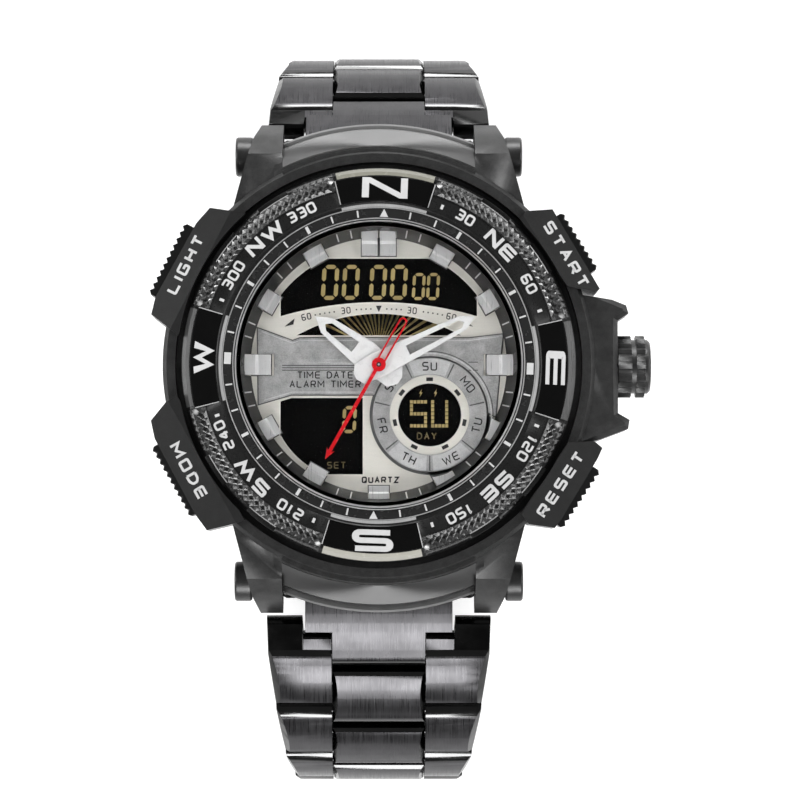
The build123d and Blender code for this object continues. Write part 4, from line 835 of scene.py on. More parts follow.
def make_knurl():
    inner, middle, outer = KNURL_RADII
    for quarter in range(QUARTERS):
        start, end, slots = quarter_angles(quarter)
        starts = [start] + [slot[1] for slot in slots]
        ends = [slot[0] for slot in slots] + [end]
        parts = [knurl_sector((start, end), (inner, middle))]
        parts += [knurl_sector(angles, (middle, outer)) for angles in zip(starts, ends)]
        add_relief(f"knurling_{quarter + 1}", parts, "bezel_ring", "knurl_black", "dark_steel")
        fills = [sector(slot, SLOT_FILL_RADII, level(SLOT_FLOOR), SLOT_FILL) for slot in slots]
        add_relief(f"slot_steps_{quarter + 1}", fills, "bezel_ring", "bezel_black", "dark_steel")


def make_bezel_trim():
    """Polished edges: round the tick ring, over the tiles, beside them and along the slots."""
    lines = []
    for radius in (RING_INNER[0], RING_OUTER[0] - EDGE_LINE):
        lines.append(sector(WHOLE_RING, (radius, radius + EDGE_LINE), ring_level, EDGE_PROUD))
    line_angle = degrees(EDGE_LINE / TILE_RADII[1])
    slot_edge = (KNURL_RADII[1], KNURL_RADII[1] + EDGE_LINE)
    for quarter in range(QUARTERS):
        angles = about(QUARTER_TURN * quarter + BEZEL_TURN, TILE_ANGLE)
        lines.append(sector(angles, RIM_RADII, level(RIM_LEVEL), EDGE_PROUD))
        lines += [sector(about(angle, line_angle), TILE_RADII, tile_level, EDGE_PROUD) for angle in angles]
        for slot in quarter_angles(quarter)[2]:
            lines.append(sector(slot, slot_edge, band_level, EDGE_PROUD))
    add_relief("bezel_edges", lines, "bezel_ring", "edge_line", "steel")
    for quarter, finish in enumerate(STRIP_FINISHES):
        angles = about(QUARTER_TURN * quarter + BEZEL_TURN, STRIP_ANGLE)
        strip = [sector(angles, STRIP_RADII, band_level, STRIP_PROUD)]
        add_relief(f"bezel_strip_{quarter + 1}", strip, "bezel_ring", finish, "steel")


# Lettering of the tiles: letter, clockwise angle from 12, height, and pen, width, stretch and corner shares
BIG_LETTERS = [
    ("N", 2.0, 2.6, 0.19, 1.25, 1.75, 0.0), ("E", 92.0, 2.45, 0.2, 1.0, 1.9, 0.06),
    ("S", 182.0, 2.7, 0.25, 1.47, 1.3, 0.25), ("W", 272.0, 2.5, 0.2, 0.93, 1.75, 0.0),
]
BIG_LETTER_RADIUS = 21.95
LETTER_RADIUS = 21.15
CORNER_LETTERS = [("NE", 46.0), ("SE", 136.3), ("SW", 228.1), ("NW", 317.9)]
CORNER_LETTER_STYLE = {"height": 1.75, "pen": 0.24, "aspect": 1.22, "gap": 0.22, "corner": 0.12}
BAND_NUMBERS = [
    ("30", 30.6), ("60", 62.0), ("120", 119.7), ("150", 151.8), ("210", 211.2), ("240", 245.1),
    ("300", 301.3), ("330", 333.0),
]
BAND_NUMBER_STYLE = {"height": 1.4, "pen": 0.2, "aspect": 0.82, "gap": 0.14}
BAND_TICKS = [22.0, 71.8, 111.5, 161.7, 202.5, 252.2, 292.1]
BAND_TICK_RADIUS, BAND_TICK_HALF, BAND_TICK_WIDTH = 21.05, 0.3, 0.34
BEZEL_TICKS = 36
# How many ticks apart the rarer kinds are
ARROW_STEP, SQUARE_STEP, WIDE_STEP = 18, 9, 3
TICK_RADIUS = 18.78
TICK_HALF_LENGTHS = {"thin": 0.42, "wide": 0.46, "square": 0.42, "arrow": 0.5}
TICK_HALF_WIDTHS = {"thin": 0.1, "wide": 0.19, "square": 0.72, "arrow": 0.52}


def tick_kind(step):
    """Which mark the tick ring has at a tick's number, counted clockwise from 12."""
    if step % ARROW_STEP == 0:
        return "arrow"
    if step % SQUARE_STEP == 0:
        return "square"
    return "thin" if step % WIDE_STEP else "wide"


def print_tiles():
    """The four big compass letters."""
    ink = Print(TILE_INK)
    for word, angle, height, pen, width, stretch, corner in BIG_LETTERS:
        place = radial_place(angle, BIG_LETTER_RADIUS, tile_level)
        aspect = width / WIDTH_SHARES.get(word, 1)
        ink.text(word, height, place, pen=pen, aspect=aspect, stretch=stretch, corner=corner)
    ink.piece("tile_lettering", "bezel_tiles", "ink_white", "black_enamel")


def print_band():
    """Corner letters, degree numbers and short ticks between the tiles."""
    ink = Print(BEZEL_INK)
    for words, style in ((CORNER_LETTERS, CORNER_LETTER_STYLE), (BAND_NUMBERS, BAND_NUMBER_STYLE)):
        for word, angle in words:
            ink.text(word, place=radial_place(angle, LETTER_RADIUS, band_level), **style)
    for angle in BAND_TICKS:
        place = radial_place(angle, BAND_TICK_RADIUS, band_level)
        ink.stroke([(0, -BAND_TICK_HALF), (0, BAND_TICK_HALF)], BAND_TICK_WIDTH, place)
    ink.piece("bezel_lettering", "bezel_ring", "ink_white", "black_enamel")


def print_ticks():
    """Marks on the tick ring, with an arrow at N and at S."""
    marks = Print(BEZEL_INK)
    for step in range(BEZEL_TICKS):
        kind = tick_kind(step)
        wide, long = TICK_HALF_WIDTHS[kind], TICK_HALF_LENGTHS[kind]
        place = radial_place(FULL_TURN / BEZEL_TICKS * step + BEZEL_TURN, TICK_RADIUS, ring_level)
        if kind == "arrow":
            tip = long if step == 0 else -long
            marks.prism([(-wide, -tip), (wide, -tip), (0, tip)], place)
        else:
            marks.bar(centred(wide), centred(long), place)
    marks.piece("bezel_ticks", "bezel_tick_ring", "ink_white", "black_enamel")


# Barrel bands over the collar at 12 and 6: rings of (angle on the barrel's arc, height over it)
BARREL_CENTRE, BARREL_RADIUS = (26.757, 7.7), 2.643
BARREL_HALF_WIDTH = 12.05
BARREL_SINK = 0.15
BARREL_RINGS = [
    (104.0, 0.04), (98.0, 0.20), (94.0, 0.40), (83.0, 0.46), (81.5, 0.38), (78.0, 0.38), (76.0, 0.52),
    (60.0, 0.15), (44.0, 0.06), (28.0, 0.15), (12.0, 0.52), (10.0, 0.34), (4.0, 0.34), (1.0, 0.52),
    (-10.0, 0.72), (-12.0, 0.58), (-16.0, 0.70), (-18.0, 1.02), (-24.0, 1.60), (-27.0, 2.00),
    (-31.0, 1.75), (-48.0, 0.50), (-60.0, 0.04),
]
BARREL_COLUMNS = 40
# Stretches between two rings, counted from the first, that are turned steel; the others have the body's grey
BARREL_TURNED_ROWS = (6, 7, 8, 9, 18)


def barrel_points(side):
    """The shell's outer rings and then its inner ones, each from one end of the band to the other."""
    points = []
    for shell in (True, False):
        for angle, proud in BARREL_RINGS:
            reach = BARREL_RADIUS + (proud if shell else -BARREL_SINK)
            radius = BARREL_CENTRE[0] + reach * cos(radians(angle))
            height = BARREL_CENTRE[1] + reach * sin(radians(angle))
            for column in range(BARREL_COLUMNS + 1):
                x = BARREL_HALF_WIDTH * (2 * column / BARREL_COLUMNS - 1)
                points.append(in_head(x, side * sqrt(radius ** 2 - x ** 2), height))
    return points


def barrel_faces():
    """The shell's faces and the finish of each: 0 is turned steel and 1 the body's grey."""
    wide = BARREL_COLUMNS + 1
    rows = len(BARREL_RINGS) - 1
    under = wide * (rows + 1)
    faces, finishes = [], []
    for row in range(rows):
        start, end = row * wide, row * wide + BARREL_COLUMNS
        for a in range(start, end):
            b, c, d = a + 1, a + wide + 1, a + wide
            faces += [(a, b, c, d), (under + d, under + c, under + b, under + a)]
        for edge in (start, end):
            faces.append((edge, edge + wide, under + edge + wide, under + edge))
        finishes += (len(faces) - len(finishes)) * [0 if row in BARREL_TURNED_ROWS else 1]
    for start in (0, rows * wide):
        for a in range(start, start + BARREL_COLUMNS):
            faces.append((a, a + 1, under + a + 1, under + a))
    finishes += (len(faces) - len(finishes)) * [1]
    return faces, finishes


def make_barrel_bands():
    """Polished shells with fine grooves over the collar's barrel."""
    faces, finishes = barrel_faces()
    for name, side in SIDES.items():
        mesh = solid_mesh("barrel", barrel_points(side), faces)
        band = add_piece(f"barrel_band_{name}", mesh, "case_body", "barrel_steel", "steel")
        band.data.materials.append(PAINTS["body_grey"])
        band.data.polygons.foreach_set("material_index", finishes)


# Knurled sleeves over the spacers of the lug bars
SPACERS = [(side_x, side_y) for side_x in (-1, 1) for side_y in (-1, 1)]
SPACER_X = (9.5, 12.0)
SPACER_AXIS = (27.0, 3.0)
SPACER_RADIUS = 1.88
SPACER_PITCH = 0.32
SPACER_PEAK = 0.2
SPACER_BASE = 0.05


def spacer_place(side_x, side_y):
    """Lays a share round a spacer and a share along it, with the height over its sleeve."""
    def place(along, across, height):
        angle = radians(FULL_TURN * along)
        reach = SPACER_RADIUS + height
        x = side_x * (SPACER_X[0] + across * (SPACER_X[1] - SPACER_X[0]))
        return in_head(x, side_y * SPACER_AXIS[0] + reach * sin(angle), SPACER_AXIS[1] + reach * cos(angle))
    return place


def make_spacer_knurls():
    columns = even_count(radians(FULL_TURN) * SPACER_RADIUS, SPACER_PITCH)
    rows = even_count(SPACER_X[1] - SPACER_X[0], SPACER_PITCH)
    sleeves = [relief(columns, rows, spacer_place(*sides), SPACER_BASE, SPACER_PEAK) for sides in SPACERS]
    add_relief("spacer_knurling", sleeves, "lug_spacers", "knurl_black", "dark_steel")


# Dial: levels and places in millimetres, outlines as shares of the dial's radius, as in the CAD
DIAL_RADIUS = 16.0
DIAL_TOP = 9.6
PANEL_TOP = 9.2
BRIDGE_TOP = 9.95
WEEK_TOP = 10.05
LIP_TOP = 9.8
FLANGE_TICK_RADIUS, FLANGE_TICK_HALF_LENGTH, FLANGE_TICK_HALF_WIDTH = 16.65, 0.42, 0.08
FLANGE_TICK_ANGLES = (12, 18)
ARC_STEPS = 24
UPPER_WINDOW_SHARES = [
    (-0.412, 0.841), (-0.62, 0.71), (-0.773, 0.551), (-0.773, 0.376), (0, 0.488),
    (0.773, 0.376), (0.773, 0.551), (0.62, 0.71), (0.419, 0.841),
]
RAY_WINDOW_SHARES = [(-0.655, 0.23), (0, 0.408), (0.655, 0.23)]
LOWER_WINDOW_SHARES = [
    (-0.773, -0.543), (-0.773, -0.280), (-0.683, -0.252), (-0.120, -0.252), (-0.120, -0.859),
    (-0.420, -0.859), (-0.62, -0.74),
]
BORDER_WIDTH, BORDER_PROUD = 0.16, 0.1


def on_dial(shares):
    """Points given as shares of the dial's radius, in millimetres."""
    return [(x * DIAL_RADIUS, y * DIAL_RADIUS) for x, y in shares]


def window_outlines():
    """The three straight-sided display windows as closed polylines."""
    points = on_dial(UPPER_WINDOW_SHARES)
    upper = (arc_points(*points[:3], ARC_STEPS) + arc_points(*points[3:6], ARC_STEPS)
             + arc_points(*points[6:], ARC_STEPS) + points[:1])
    rays = arc_points(*on_dial(RAY_WINDOW_SHARES), ARC_STEPS)
    points = on_dial(LOWER_WINDOW_SHARES)
    lower = points[:-2] + arc_points(points[-2], points[-1], points[0], ARC_STEPS)
    return upper, rays + rays[:1], lower


def make_window_borders():
    borders = Print(BORDER_PROUD)
    for outline in window_outlines():
        borders.stroke(outline, BORDER_WIDTH, flat_place((0, 0), DIAL_TOP))
    borders.piece("window_borders", "dial_plate", "edge_cream", "dial_cream")


# Bridge plate and weekday ring: beads are raised light lines and grooves are dark ones
SUBDIAL = (6.352, -6.224)
DAYS = ("SU", "MO", "TU", "WE", "TH", "FR", "SA")
WEEK_LIP_RADII = (3.98, 4.98)
WEEK_PLATE_RADII = (5.12, 7.0)
WEEK_SECTOR = FULL_TURN / len(DAYS)
WEEK_PLATE_ANGLE = 44.0
WEEK_RAISED = (0, 3, 4)
WEEK_PLATE_PROUD, WEEK_LIP_PROUD = 0.07, 0.03
WEEK_GROOVE_ANGLE = 1.6
WEEK_GROOVE_PROUD = 0.012
BEAD_WIDTH, BEAD_PROUD = 0.13, 0.06
# The grooves' width, and how far the dark lines stand out: grooves and painted shade alike
GROOVE_WIDTH, DARK_LINE_PROUD = 0.12, 0.012
BRIDGE_BEAD_SHARES = [
    [(-0.915, 0.262), (-0.675, 0.172), (-0.617, 0.192), (0.706, 0.192), (0.940, 0.222)],
    [(-0.895, -0.276), (-0.675, -0.212), (-0.042, -0.212)],
]
BRIDGE_LINE_SHARES = [
    (-0.755, -0.175, -0.004), (-0.755, -0.175, -0.022), (-0.755, -0.175, -0.041),
    (0.700, 0.775, 0.022), (0.700, 0.775, -0.041),
]
RIM_BEADS = [((-52.0, 112.0), (7.62, 7.76), "bead"), ((-52.0, 112.0), (7.86, 7.98), "groove")]
BRIDGE_SHARES = [
    (-0.946, 0.2875), (-0.675, 0.189), (-0.617, 0.210), (0.706, 0.210), (0.9695, 0.240),
    (0.912, -0.403), (0.854, -0.370),
]
BRIDGE_TAIL_SHARES = [(-0.042, -0.230), (-0.683, -0.230), (-0.938, -0.305)]
# Painted shade on the dial: a dark stroke along the bridge plate's foot and a dark ring in the gap round the
# subdial
FOOT_SHADOW_WIDTH = 0.3
SUBDIAL_SHADOW_RADII = (7.1, 7.5)


def make_bridge_relief():
    beads, grooves = Print(BEAD_PROUD), Print(DARK_LINE_PROUD)
    flat = flat_place((0, 0), BRIDGE_TOP)
    for shares in BRIDGE_BEAD_SHARES:
        beads.stroke(on_dial(shares), BEAD_WIDTH, flat)
    for left, right, height in BRIDGE_LINE_SHARES:
        grooves.stroke(on_dial([(left, height), (right, height)]), GROOVE_WIDTH, flat)
    # Painted shadow under the bridge plate's edge
    foot = Print(DARK_LINE_PROUD)
    foot.stroke(on_dial(BRIDGE_TAIL_SHARES + BRIDGE_SHARES), FOOT_SHADOW_WIDTH, flat_place((0, 0), DIAL_TOP))
    foot.piece("bridge_foot_shadow", "dial_plate", "dial_groove_and_shade", "dial_grey")
    # Painted shade in the gap round the subdial
    rim = [sector(WHOLE_RING, SUBDIAL_SHADOW_RADII, level(DIAL_TOP), DARK_LINE_PROUD, SUBDIAL)]
    add_relief("subdial_foot_shadow", rim, "dial_plate", "dial_groove_and_shade", "dial_grey")
    beads.piece("bridge_beads", "bridge_plate", "dial_light", "dial_grey")
    grooves.piece("bridge_grooves", "bridge_plate", "dial_groove_and_shade", "dial_grey")
    for index, (angles, radii, kind) in enumerate(RIM_BEADS):
        finish, proud = ("dial_light", BEAD_PROUD) if kind == "bead" else ("dial_groove_and_shade", DARK_LINE_PROUD)
        ring = [sector(angles, radii, level(BRIDGE_TOP), proud, SUBDIAL)]
        add_relief(f"subdial_ring_{index + 1}", ring, "bridge_plate", finish, "dial_grey")


def week_sectors(days, sweep, proud):
    """Slabs on the weekday ring about places counted in days."""
    return [sector(about(WEEK_SECTOR * day, sweep), WEEK_PLATE_RADII, level(WEEK_TOP), proud, SUBDIAL)
            for day in days]


def make_week_relief():
    plates = week_sectors(WEEK_RAISED, WEEK_PLATE_ANGLE, WEEK_PLATE_PROUD)
    add_relief("weekday_plates", plates, "weekday_ring", "dial_light", "dial_grey")
    lip = [sector(WHOLE_RING, WEEK_LIP_RADII, level(LIP_TOP), WEEK_LIP_PROUD, SUBDIAL)]
    add_relief("weekday_lip", lip, "weekday_ring", "dial_cream", "dial_cream")
    between = [day + 0.5 for day in range(len(DAYS))]
    grooves = week_sectors(between, WEEK_GROOVE_ANGLE, WEEK_GROOVE_PROUD)
    add_relief("weekday_grooves", grooves, "weekday_ring", "dial_groove_and_shade", "dial_grey")


def make_flange_ticks():
    marks = Print(FLANGE_INK)
    for hour in range(HOURS):
        for past in FLANGE_TICK_ANGLES:
            place = radial_place(HOUR_TURN * hour + past, FLANGE_TICK_RADIUS, flange_level)
            marks.bar(centred(FLANGE_TICK_HALF_WIDTH), centred(FLANGE_TICK_HALF_LENGTH), place)
    marks.piece("flange_ticks", "inner_flange", "ink_white", "dial_grey")


# Displays: the digits' sizes and middles, and letters as their left edge and rows of squares
SEGMENT_PEN_SHARE, SEGMENT_GAP_SHARE, SEGMENT_LEAN = 0.24, 0.06, 0.06
DIGITS = [
    ((2.1, 4.4), [(-6.11, 10.42), (-3.51, 10.42), (-0.09, 10.42), (2.51, 10.42)]),
    ((1.6, 3.4), [(5.01, 9.9), (6.81, 9.9)]),
    ((1.75, 3.4), [(-3.68, -6.8)]),
]
DOT_LETTERS = [
    (-2.45, ["#####", "#....", "#....", "#####", "....#", "....#", "#####"]),
    (0.2, ["#...#", "#...#", "#...#", "#...#", "#...#", "#...#", "#####"]),
]
DOT_TOP = 1.85
DOT_PITCH = (0.44, 0.5)
DOT_FILL_SHARE = 0.82
FLASH_HEIGHT = 1.0
FLASH_SHARES = [(0.15, 0.5), (-0.2, -0.05), (0.0, -0.05), (-0.15, -0.5), (0.22, 0.08), (0.03, 0.08)]
FLASH_PLACES = [(-1.1, 2.75), (0.75, 2.75)]
DIM_WORDS = [("DAY", 0.9, (6.0, -8.85)), ("SET", 0.85, (-5.3, -12.5))]
DIM_STYLE = {"pen": 0.16, "aspect": 0.75, "gap": 0.26}


def segment_digit(ink, centre, size):
    """A display zero: six segments with pointed ends and a gap at each joint."""
    width, height = size
    pen, gap = SEGMENT_PEN_SHARE * width, SEGMENT_GAP_SHARE * width
    place = flat_place(centre, PANEL_TOP)
    half_w, half_h = (width - pen) / 2, (height - pen) / 2

    def segment(start, end):
        start, end = Vector(start), Vector(end)
        run = (end - start).normalized()
        side = Vector((-run.y, run.x)) * pen / 2
        a, b = start + run * gap, end - run * gap
        inner = run * pen / 2
        shape = [a, a + inner + side, b - inner + side, b, b - inner - side, a + inner - side]
        ink.prism([(p.x + SEGMENT_LEAN * p.y, p.y) for p in shape], place)

    for side in (-half_w, half_w):
        segment((side, 0), (side, half_h))
        segment((side, -half_h), (side, 0))
    for level_y in (-half_h, half_h):
        segment((-half_w, level_y), (half_w, level_y))


def dot_letter(ink, x, rows):
    """A letter made of squares, from its left edge on."""
    wide, high = DOT_PITCH
    place = flat_place(SUBDIAL, PANEL_TOP)
    for row, dots in enumerate(rows):
        for column, dot in enumerate(dots):
            if dot == "#":
                left, top = x + column * wide, DOT_TOP - row * high
                ink.bar((left, left + wide * DOT_FILL_SHARE), (top - high * DOT_FILL_SHARE, top), place)


def make_displays():
    ink = Print(DISPLAY_INK)
    for size, centres in DIGITS:
        for centre in centres:
            segment_digit(ink, centre, size)
    for x, rows in DOT_LETTERS:
        dot_letter(ink, x, rows)
    flash = [(x * FLASH_HEIGHT, y * FLASH_HEIGHT) for x, y in FLASH_SHARES]
    for x, y in FLASH_PLACES:
        ink.prism(flash, flat_place((SUBDIAL[0] + x, SUBDIAL[1] + y), PANEL_TOP))
    ink.piece("display_digits", "lcd_panels", "lcd_gold", "lcd_black")
    dim = Print(DISPLAY_INK)
    for word, height, centre in DIM_WORDS:
        dim.text(word, height, flat_place(centre, PANEL_TOP), **DIM_STYLE)
    dim.piece("display_words", "lcd_panels", "lcd_dim", "lcd_black")


# Gold rays that fan out in the window under the scale, each a broad ray between two thin ones. Their shares
# are a turn in radians from the middle one, and half a width for each millimetre of length.
RAY_FOCUS = 1.9
RAY_LOW = 3.72
RAY_CREST, RAY_BOW = 6.4, 42.0
RAY_END_X = 10.0
RAY_REACH = 40.0
RAY_STEP = 7.2
RAYS_EACH_SIDE = 9
RAY_SHARES = [(-0.012, 0.010), (0.0, 0.020), (0.020, 0.009)]
RAY_FOOT_SHARE = 1.2
RAY_SPREAD = 2.0


def ray(angle, width):
    """A ray's outline, from the window's lower edge to its bowed upper edge; none past the window's ends."""
    focus = Vector((0, RAY_FOCUS))
    direction = Vector((sin(angle), cos(angle)))
    start = focus + direction * ((RAY_LOW - focus.y) / direction.y)
    crest = RAY_CREST - start.x ** 2 / RAY_BOW
    far = min((crest - focus.y) / direction.y, RAY_REACH)
    end = focus + direction * far
    if abs(end.x) > RAY_END_X or end.y <= start.y:
        return None
    side = Vector((direction.y, -direction.x))
    near, wide = side * width * RAY_FOOT_SHARE, side * width * (far + RAY_SPREAD)
    return [(p.x, p.y) for p in (start - near, start + near, end + wide, end - wide)]


def make_rays():
    ink = Print(DISPLAY_INK)
    for step in range(-RAYS_EACH_SIDE, RAYS_EACH_SIDE + 1):
        for shift, width in RAY_SHARES:
            outline = ray(radians(step * RAY_STEP) + shift, width)
            if outline:
                ink.prism(outline, flat_place((0, 0), PANEL_TOP))
    ink.piece("display_rays", "lcd_panels", "lcd_gold", "lcd_black")


# Dial printing: a scale on a wide arc, and words with their height, middle and style
SCALE_RADIUS, SCALE_CREST = 41.9, 7.06
SCALE_NUMBERS = [("60", -9.15), ("30", -4.15), ("30", 4.15), ("60", 9.15)]
SCALE_NUMBER_HEIGHT = 0.85
SCALE_NUMBER_STYLE = {"pen": 0.15, "aspect": 0.62, "gap": 0.2}
SCALE_DOTS = [1.0, 1.6, 2.2, 2.8, 5.6, 6.2, 6.8, 7.4, 8.0]
SCALE_DOT_HALF = 0.09
SCALE_POINTER = [(-0.38, 0.4), (0, -0.4), (0.38, 0.4)]
SCALE_END_X, SCALE_END_DROP = 11.3, 0.25
SCALE_END = [(0.75, -0.28), (-0.75, 0.38), (-0.4, -0.32)]
DIAL_WORD, DIAL_WORD_HEIGHT, DIAL_WORD_PLACE = "QUARTZ", 0.82, (0.2, -14.35)
DIAL_WORD_STYLE = {"pen": 0.22, "aspect": 0.8, "gap": 0.18}
BRIDGE_WORDS = [("TIME DATE", (-6.7, -1.25)), ("ALARM TIMER", (-6.7, -2.4))]
BRIDGE_WORD_HEIGHT = 0.92
BRIDGE_WORD_STYLE = {"pen": 0.16, "aspect": 0.75, "gap": 0.2}
DAY_RADIUS, DAY_HEIGHT = 6.05, 1.1
DAY_STYLE = {"pen": 0.15, "aspect": 0.75, "gap": 0.2}
DAY_BLOCK_RADIUS, DAY_BLOCK_HALF_WIDTH, DAY_BLOCK_HALF_HEIGHT = 4.44, 0.42, 0.23


def arc_place(radius, crest, x_at):
    """Lays x, y upright on a wide arc whose highest point is the crest above the dial's middle."""
    lean = -x_at / radius
    centre = (radius * sin(-lean), crest - radius * (1 - cos(lean)))
    return flat_place(centre, DIAL_TOP, degrees(lean))


def subdial_place(angle, radius, height_at, inward=False):
    """Lays x, y round the small dial; words in its lower half read from outside."""
    out, along = clock_axes(angle)
    flip = -1 if inward else 1

    def place(x, y, height):
        point = Vector(SUBDIAL) + out * (radius + flip * y) + along * flip * x
        return in_head(point.x, point.y, height_at + height)
    return place


def print_scale(ink):
    for word, x in SCALE_NUMBERS:
        ink.text(word, SCALE_NUMBER_HEIGHT, arc_place(SCALE_RADIUS, SCALE_CREST, x), **SCALE_NUMBER_STYLE)
    dot = centred(SCALE_DOT_HALF)
    for side in (-1, 1):
        for x in SCALE_DOTS:
            ink.bar(dot, dot, arc_place(SCALE_RADIUS, SCALE_CREST, side * x))
        ink.prism([(side * x, y) for x, y in SCALE_END],
                  arc_place(SCALE_RADIUS, SCALE_CREST - SCALE_END_DROP, side * SCALE_END_X))
    ink.prism(SCALE_POINTER, flat_place((0, SCALE_CREST), DIAL_TOP))


def print_days():
    ink = Print(DIAL_INK)
    for index, day in enumerate(DAYS):
        angle = WEEK_SECTOR * index
        lower_half = QUARTER_TURN < angle < FULL_TURN - QUARTER_TURN
        top = WEEK_TOP + (WEEK_PLATE_PROUD if index in WEEK_RAISED else 0)
        ink.text(day, DAY_HEIGHT, subdial_place(angle, DAY_RADIUS, top, lower_half), **DAY_STYLE)
        ink.bar(centred(DAY_BLOCK_HALF_WIDTH), centred(DAY_BLOCK_HALF_HEIGHT),
                subdial_place(angle, DAY_BLOCK_RADIUS, LIP_TOP + WEEK_LIP_PROUD))
    ink.piece("weekday_printing", "weekday_ring", "ink_black", "dial_grey")


def make_dial_print():
    ink = Print(DIAL_INK)
    print_scale(ink)
    ink.text(DIAL_WORD, DIAL_WORD_HEIGHT, flat_place(DIAL_WORD_PLACE, DIAL_TOP), **DIAL_WORD_STYLE)
    ink.piece("dial_printing", "dial_plate", "ink_black", "dial_cream")
    ink = Print(DIAL_INK)
    for row, centre in BRIDGE_WORDS:
        ink.text(row, BRIDGE_WORD_HEIGHT, flat_place(centre, BRIDGE_TOP), **BRIDGE_WORD_STYLE)
    ink.piece("bridge_printing", "bridge_plate", "ink_black", "dial_grey")
    print_days()


# Hour blocks: their feet as in the CAD, and the share of each one's length that shows, from 12 o'clock on
MARKER_INNER, LONG_MARKER_INNER = 13.9, 13.2
MARKER_WIDTH, TWELVE_WIDTH = 2.5, 4.25
MARKER_OUTER = 16.75
# How far the painted shade round each block's foot reaches past the block
MARKER_SHADOW_MARGIN = 0.14
MARKER_ROUNDING = 0.1
LONG_MARKER_STEP = 3
MARKER_SHARES = [0.86, 0.70, 0.70, 0.92, 0.70, 0.70, 0.46, 0.70, 0.70, 0.92, 0.70, 0.70]


def trimmed(radius, hour):
    """A radius on an hour block after its shortening towards the dial's edge."""
    return MARKER_OUTER - (MARKER_OUTER - radius) * MARKER_SHARES[hour]


def trim_markers(shape):
    """Draw each hour block in towards the dial's edge."""
    for vertex in shape.verts:
        reach = vertex.co - to_metres(HEAD)
        hour = round(degrees(atan2(reach.x, reach.y)) / HOUR_TURN) % HOURS
        out = clock_axes(hour * HOUR_TURN)[0].to_3d()
        radius = reach.dot(out) / MM
        vertex.co += out * (trimmed(radius, hour) - radius) * MM


def make_marker_shadows():
    """Painted shade: dark outlines on the dial round the feet of the hour blocks, where their sides are in
    shade.
    """
    # Painted shade round each hour block's foot
    grooves = Print(DARK_LINE_PROUD)
    for hour in range(HOURS):
        half = (MARKER_WIDTH if hour else TWELVE_WIDTH) / 2 + MARKER_SHADOW_MARGIN
        inner = MARKER_INNER if hour % LONG_MARKER_STEP else LONG_MARKER_INNER
        place = radial_place(HOUR_TURN * hour, 0, level(DIAL_TOP))
        grooves.bar(centred(half), (trimmed(inner, hour) - MARKER_SHADOW_MARGIN, DIAL_RADIUS), place)
    grooves.piece("marker_foot_shadows", "dial_plate", "dial_groove_and_shade", "dial_grey")


# Hub of the seconds hand, a small pin in a dark ring: name, radii, height, material and slot
HUB_TOP = 11.2
HUB_DISCS = [
    ("hub_ring", (0.0, 0.3), 0.06, "ink_black", "black_enamel"),
    ("hub_pin", (0.0, 0.13), 0.1, "ink_white", "steel"),
]


def make_hub():
    for name, radii, proud, finish, slot in HUB_DISCS:
        add_relief(name, [sector(WHOLE_RING, radii, level(HUB_TOP), proud)], "second_hand", finish, slot)


# Buttons: name, direction of the guard and of its legend in degrees from +X, 1 or -1 as the legend's top
# points out or in, and how far the teeth stand out beyond the CAD's
BUTTONS = [
    ("light", 153.0, 152.7, 1, 0.3), ("mode", 209.3, 209.3, -1, 0.3), ("start", 32.0, 30.4, 1, 0.3),
    ("reset", -33.5, -33.5, -1, 0.85),
]
GUARD_INNER, GUARD_TOP, GUARD_SLOPE = 25.1, 12.3, 14.0
LEGEND_RADIUS, LEGEND_HEIGHT = 27.1, 1.45
LEGEND_STYLE = {"pen": 0.22, "aspect": 1.0, "gap": 0.34, "corner": 0.12}
BUTTON_ROUNDING = 0.16
TOOTH_DEPTH, TOOTH_RISE, TOOTH_SINK, TOOTH_SLACK = 0.8, 0.4, 0.08, 0.05


def from_x(angle):
    """The direction in the dial's plane at an angle from +X, anticlockwise."""
    return Vector((cos(radians(angle)), sin(radians(angle))))


def guard_place(guard_angle, text_angle, flip):
    """Lays x, y on a guard's sloping top; the slope runs out along the guard's own direction."""
    axis, out = from_x(guard_angle), from_x(text_angle)
    along = Vector((out.y, -out.x))

    def place(x, y, height):
        point = out * (LEGEND_RADIUS + flip * y) + along * flip * x
        fall = (point.dot(axis) - GUARD_INNER) * tan(radians(GUARD_SLOPE))
        return in_head(point.x, point.y, GUARD_TOP - fall + height)
    return place


def make_legends():
    ink = Print(LEGEND_INK)
    for button, guard_angle, text_angle, flip, _ in BUTTONS:
        ink.text(button.upper(), LEGEND_HEIGHT, guard_place(guard_angle, text_angle, flip), **LEGEND_STYLE)
    ink.piece("button_legends", "pusher_guards", "ink_white", "dark_steel")


def soften_teeth(angle, lift):
    """A function that makes a button's teeth shallower and stands them out by a lift."""
    out = from_x(angle).to_3d()

    def reshape(shape):
        tip = max(vertex.co.dot(out) for vertex in shape.verts)
        for vertex in shape.verts:
            share = (tip - vertex.co.dot(out)) / (TOOTH_DEPTH * MM)
            if share < 1 + TOOTH_SLACK:
                vertex.co += out * (lift + share * TOOTH_RISE - TOOTH_SINK) * MM
    return reshape


def make_buttons():
    for button, angle, _, _, lift in BUTTONS:
        refine(f"button_{button}", "button_black", "steel", BUTTON_ROUNDING, soften_teeth(angle, lift))


# Bracelet: the last link's angle as in the CAD, how the links' outer sides are crowned, and the longer tails
# of the first outer links
LINK_ROWS = 7
LAST_HEADING, HEADING_DIGITS = 174.0, 1
EDGE_FINISH, SIDE_FINISH = 1, 2
LINK_ROUNDING = 0.1
LINK_HALF_THICKNESS = 1.7
LINK_BULGE = 0.45
LINK_CUTS = 10
FIRST_TAIL = 1.3
TAIL_INNER, TAIL_ZONE = 5.95, 0.5
FAR_TAILS = {"12": 0.0, "6": 1.2}
